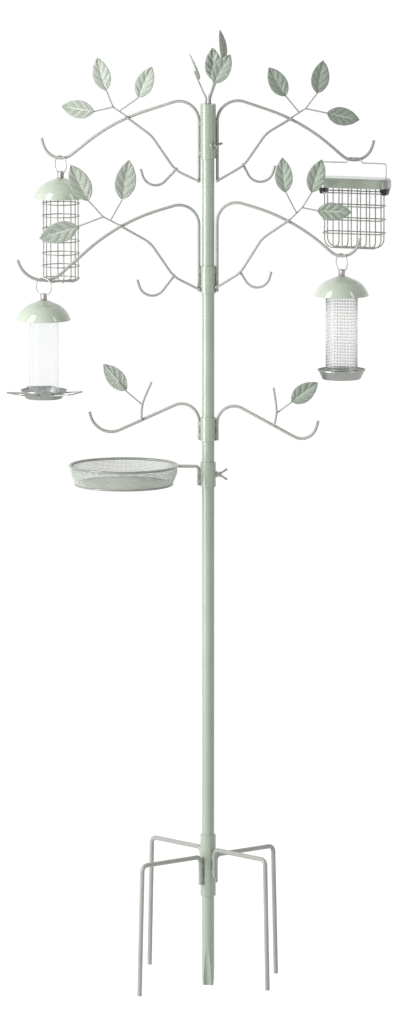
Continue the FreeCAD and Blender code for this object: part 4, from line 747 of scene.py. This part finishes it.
# Studio: a wide sheet of white paper that keeps a soft shadow, and a white room lit by four soft boxes.
# Paper and room are white wherever they are seen, and give little light themselves.
FLOOR_HALF = 40.0
FLOOR_GAP = 0.001
PAPER = (0.9, 0.9, 0.9, 1)
PAPER_GLOW = 1.15
GLOW_SHARE = 0.85
WHITE = (1, 1, 1, 1)
ROOM_LIGHT = 0.21

floor_mesh = bmesh.new()
bmesh.ops.create_grid(floor_mesh, x_segments=1, y_segments=1, size=FLOOR_HALF)
floor_data = bpy.data.meshes.new("studio_floor")
floor_mesh.to_mesh(floor_data)
floor_mesh.free()
floor = bpy.data.objects.new("studio_floor", floor_data)
floor.location.z = cad_box[0].z - FLOOR_GAP
bpy.context.scene.collection.objects.link(floor)


def in_sight(palette):
    """1 where it is seen, straight, in a gloss or through the tube, and 0 where it only gives light."""
    direct = palette.node("ShaderNodeLightPath", {}, {}, "Is Camera Ray")
    mirrored = palette.node("ShaderNodeLightPath", {}, {}, "Is Glossy Ray")
    through = palette.node("ShaderNodeLightPath", {}, {}, "Is Transmission Ray")
    return direct.either(mirrored).either(through)


paper = Finish("white_paper", Roughness=0.9, Base_Color=PAPER)
matt = Tone(paper, paper.shader.outputs[0])
glow = paper.node("ShaderNodeEmission", {}, {"Strength": PAPER_GLOW})
sheet_of_paper = paper.node("ShaderNodeMixShader", {}, {0: in_sight(paper) * GLOW_SHARE, 1: matt, 2: glow})
paper.join(sheet_of_paper, paper.tree.nodes["Material Output"].inputs[0])
paper.material.cycles.emission_sampling = "NONE"
floor_data.materials.append(paper.material)

world = bpy.data.worlds.new("studio")
bpy.context.scene.world = world
world.use_nodes = True
room = Palette(world.node_tree)
backdrop = world.node_tree.nodes["Background"]
white_or_dim = {"Value": in_sight(room), "To Min": ROOM_LIGHT, "To Max": 1.0}
room_tone = room.node("ShaderNodeMapRange", {}, white_or_dim)
room.join(WHITE, backdrop.inputs["Color"])
room.join(room_tone, backdrop.inputs["Strength"])


def soft_box(name, place, aim, width, height, power):
    """A lamp behind a white sheet, aimed at a point."""
    lamp = bpy.data.lights.new(name, "AREA")
    lamp.shape = "RECTANGLE"
    lamp.size = width
    lamp.size_y = height
    lamp.energy = power
    stand = bpy.data.objects.new(name, lamp)
    stand.location = place
    stand.rotation_euler = (Vector(aim) - Vector(place)).to_track_quat("-Z", "Y").to_euler()
    bpy.context.scene.collection.objects.link(stand)
    return stand


soft_box("left_soft_box", (-3.2, -2.0, 2.9), aim=(0, 0, 2.3), width=1.6, height=5.0, power=178)
soft_box("left_strip_box", (-3.3, -1.9, 1.1), aim=(0, 0, 0.9), width=0.6, height=2.0, power=50)
soft_box("right_soft_box", (3.2, -2.0, 2.9), aim=(0, 0, 2.3), width=0.6, height=5.0, power=46)
back_box = soft_box("back_soft_box", (0.4, 2.6, 5.2), aim=(0, 0, 1.2), width=2.4, height=2.4, power=80)
back_box.visible_glossy = False

# Camera: a long lens on a full-frame body, far off, a little to the right of the pole and looking down
# at it by eight degrees. Other views stand much further back, so it sees to a long distance.
AIM = Vector((0, 0, 0.962))
DISTANCE = 20.0
LOOK_DOWN = math.radians(8)
LOOK_ACROSS = math.radians(4)
LENS = 352.8
FULL_FRAME = 36
SHIFT_RIGHT = -0.0055
SHIFT_UP = -0.0023
SEES_TO = 1000

camera = bpy.data.cameras.new("camera")
camera.lens = LENS
camera.sensor_width = FULL_FRAME
camera.shift_x = SHIFT_RIGHT
camera.shift_y = SHIFT_UP
camera.clip_end = SEES_TO
eye = bpy.data.objects.new("camera", camera)
level = DISTANCE * math.cos(LOOK_DOWN)
up = DISTANCE * math.sin(LOOK_DOWN)
eye.location = AIM + Vector((level * math.sin(LOOK_ACROSS), -level * math.cos(LOOK_ACROSS), up))
eye.rotation_euler = (AIM - eye.location).to_track_quat("-Z", "Y").to_euler()
bpy.context.scene.collection.objects.link(eye)
bpy.context.scene.camera = eye
bpy.context.scene.view_settings.view_transform = "Standard"
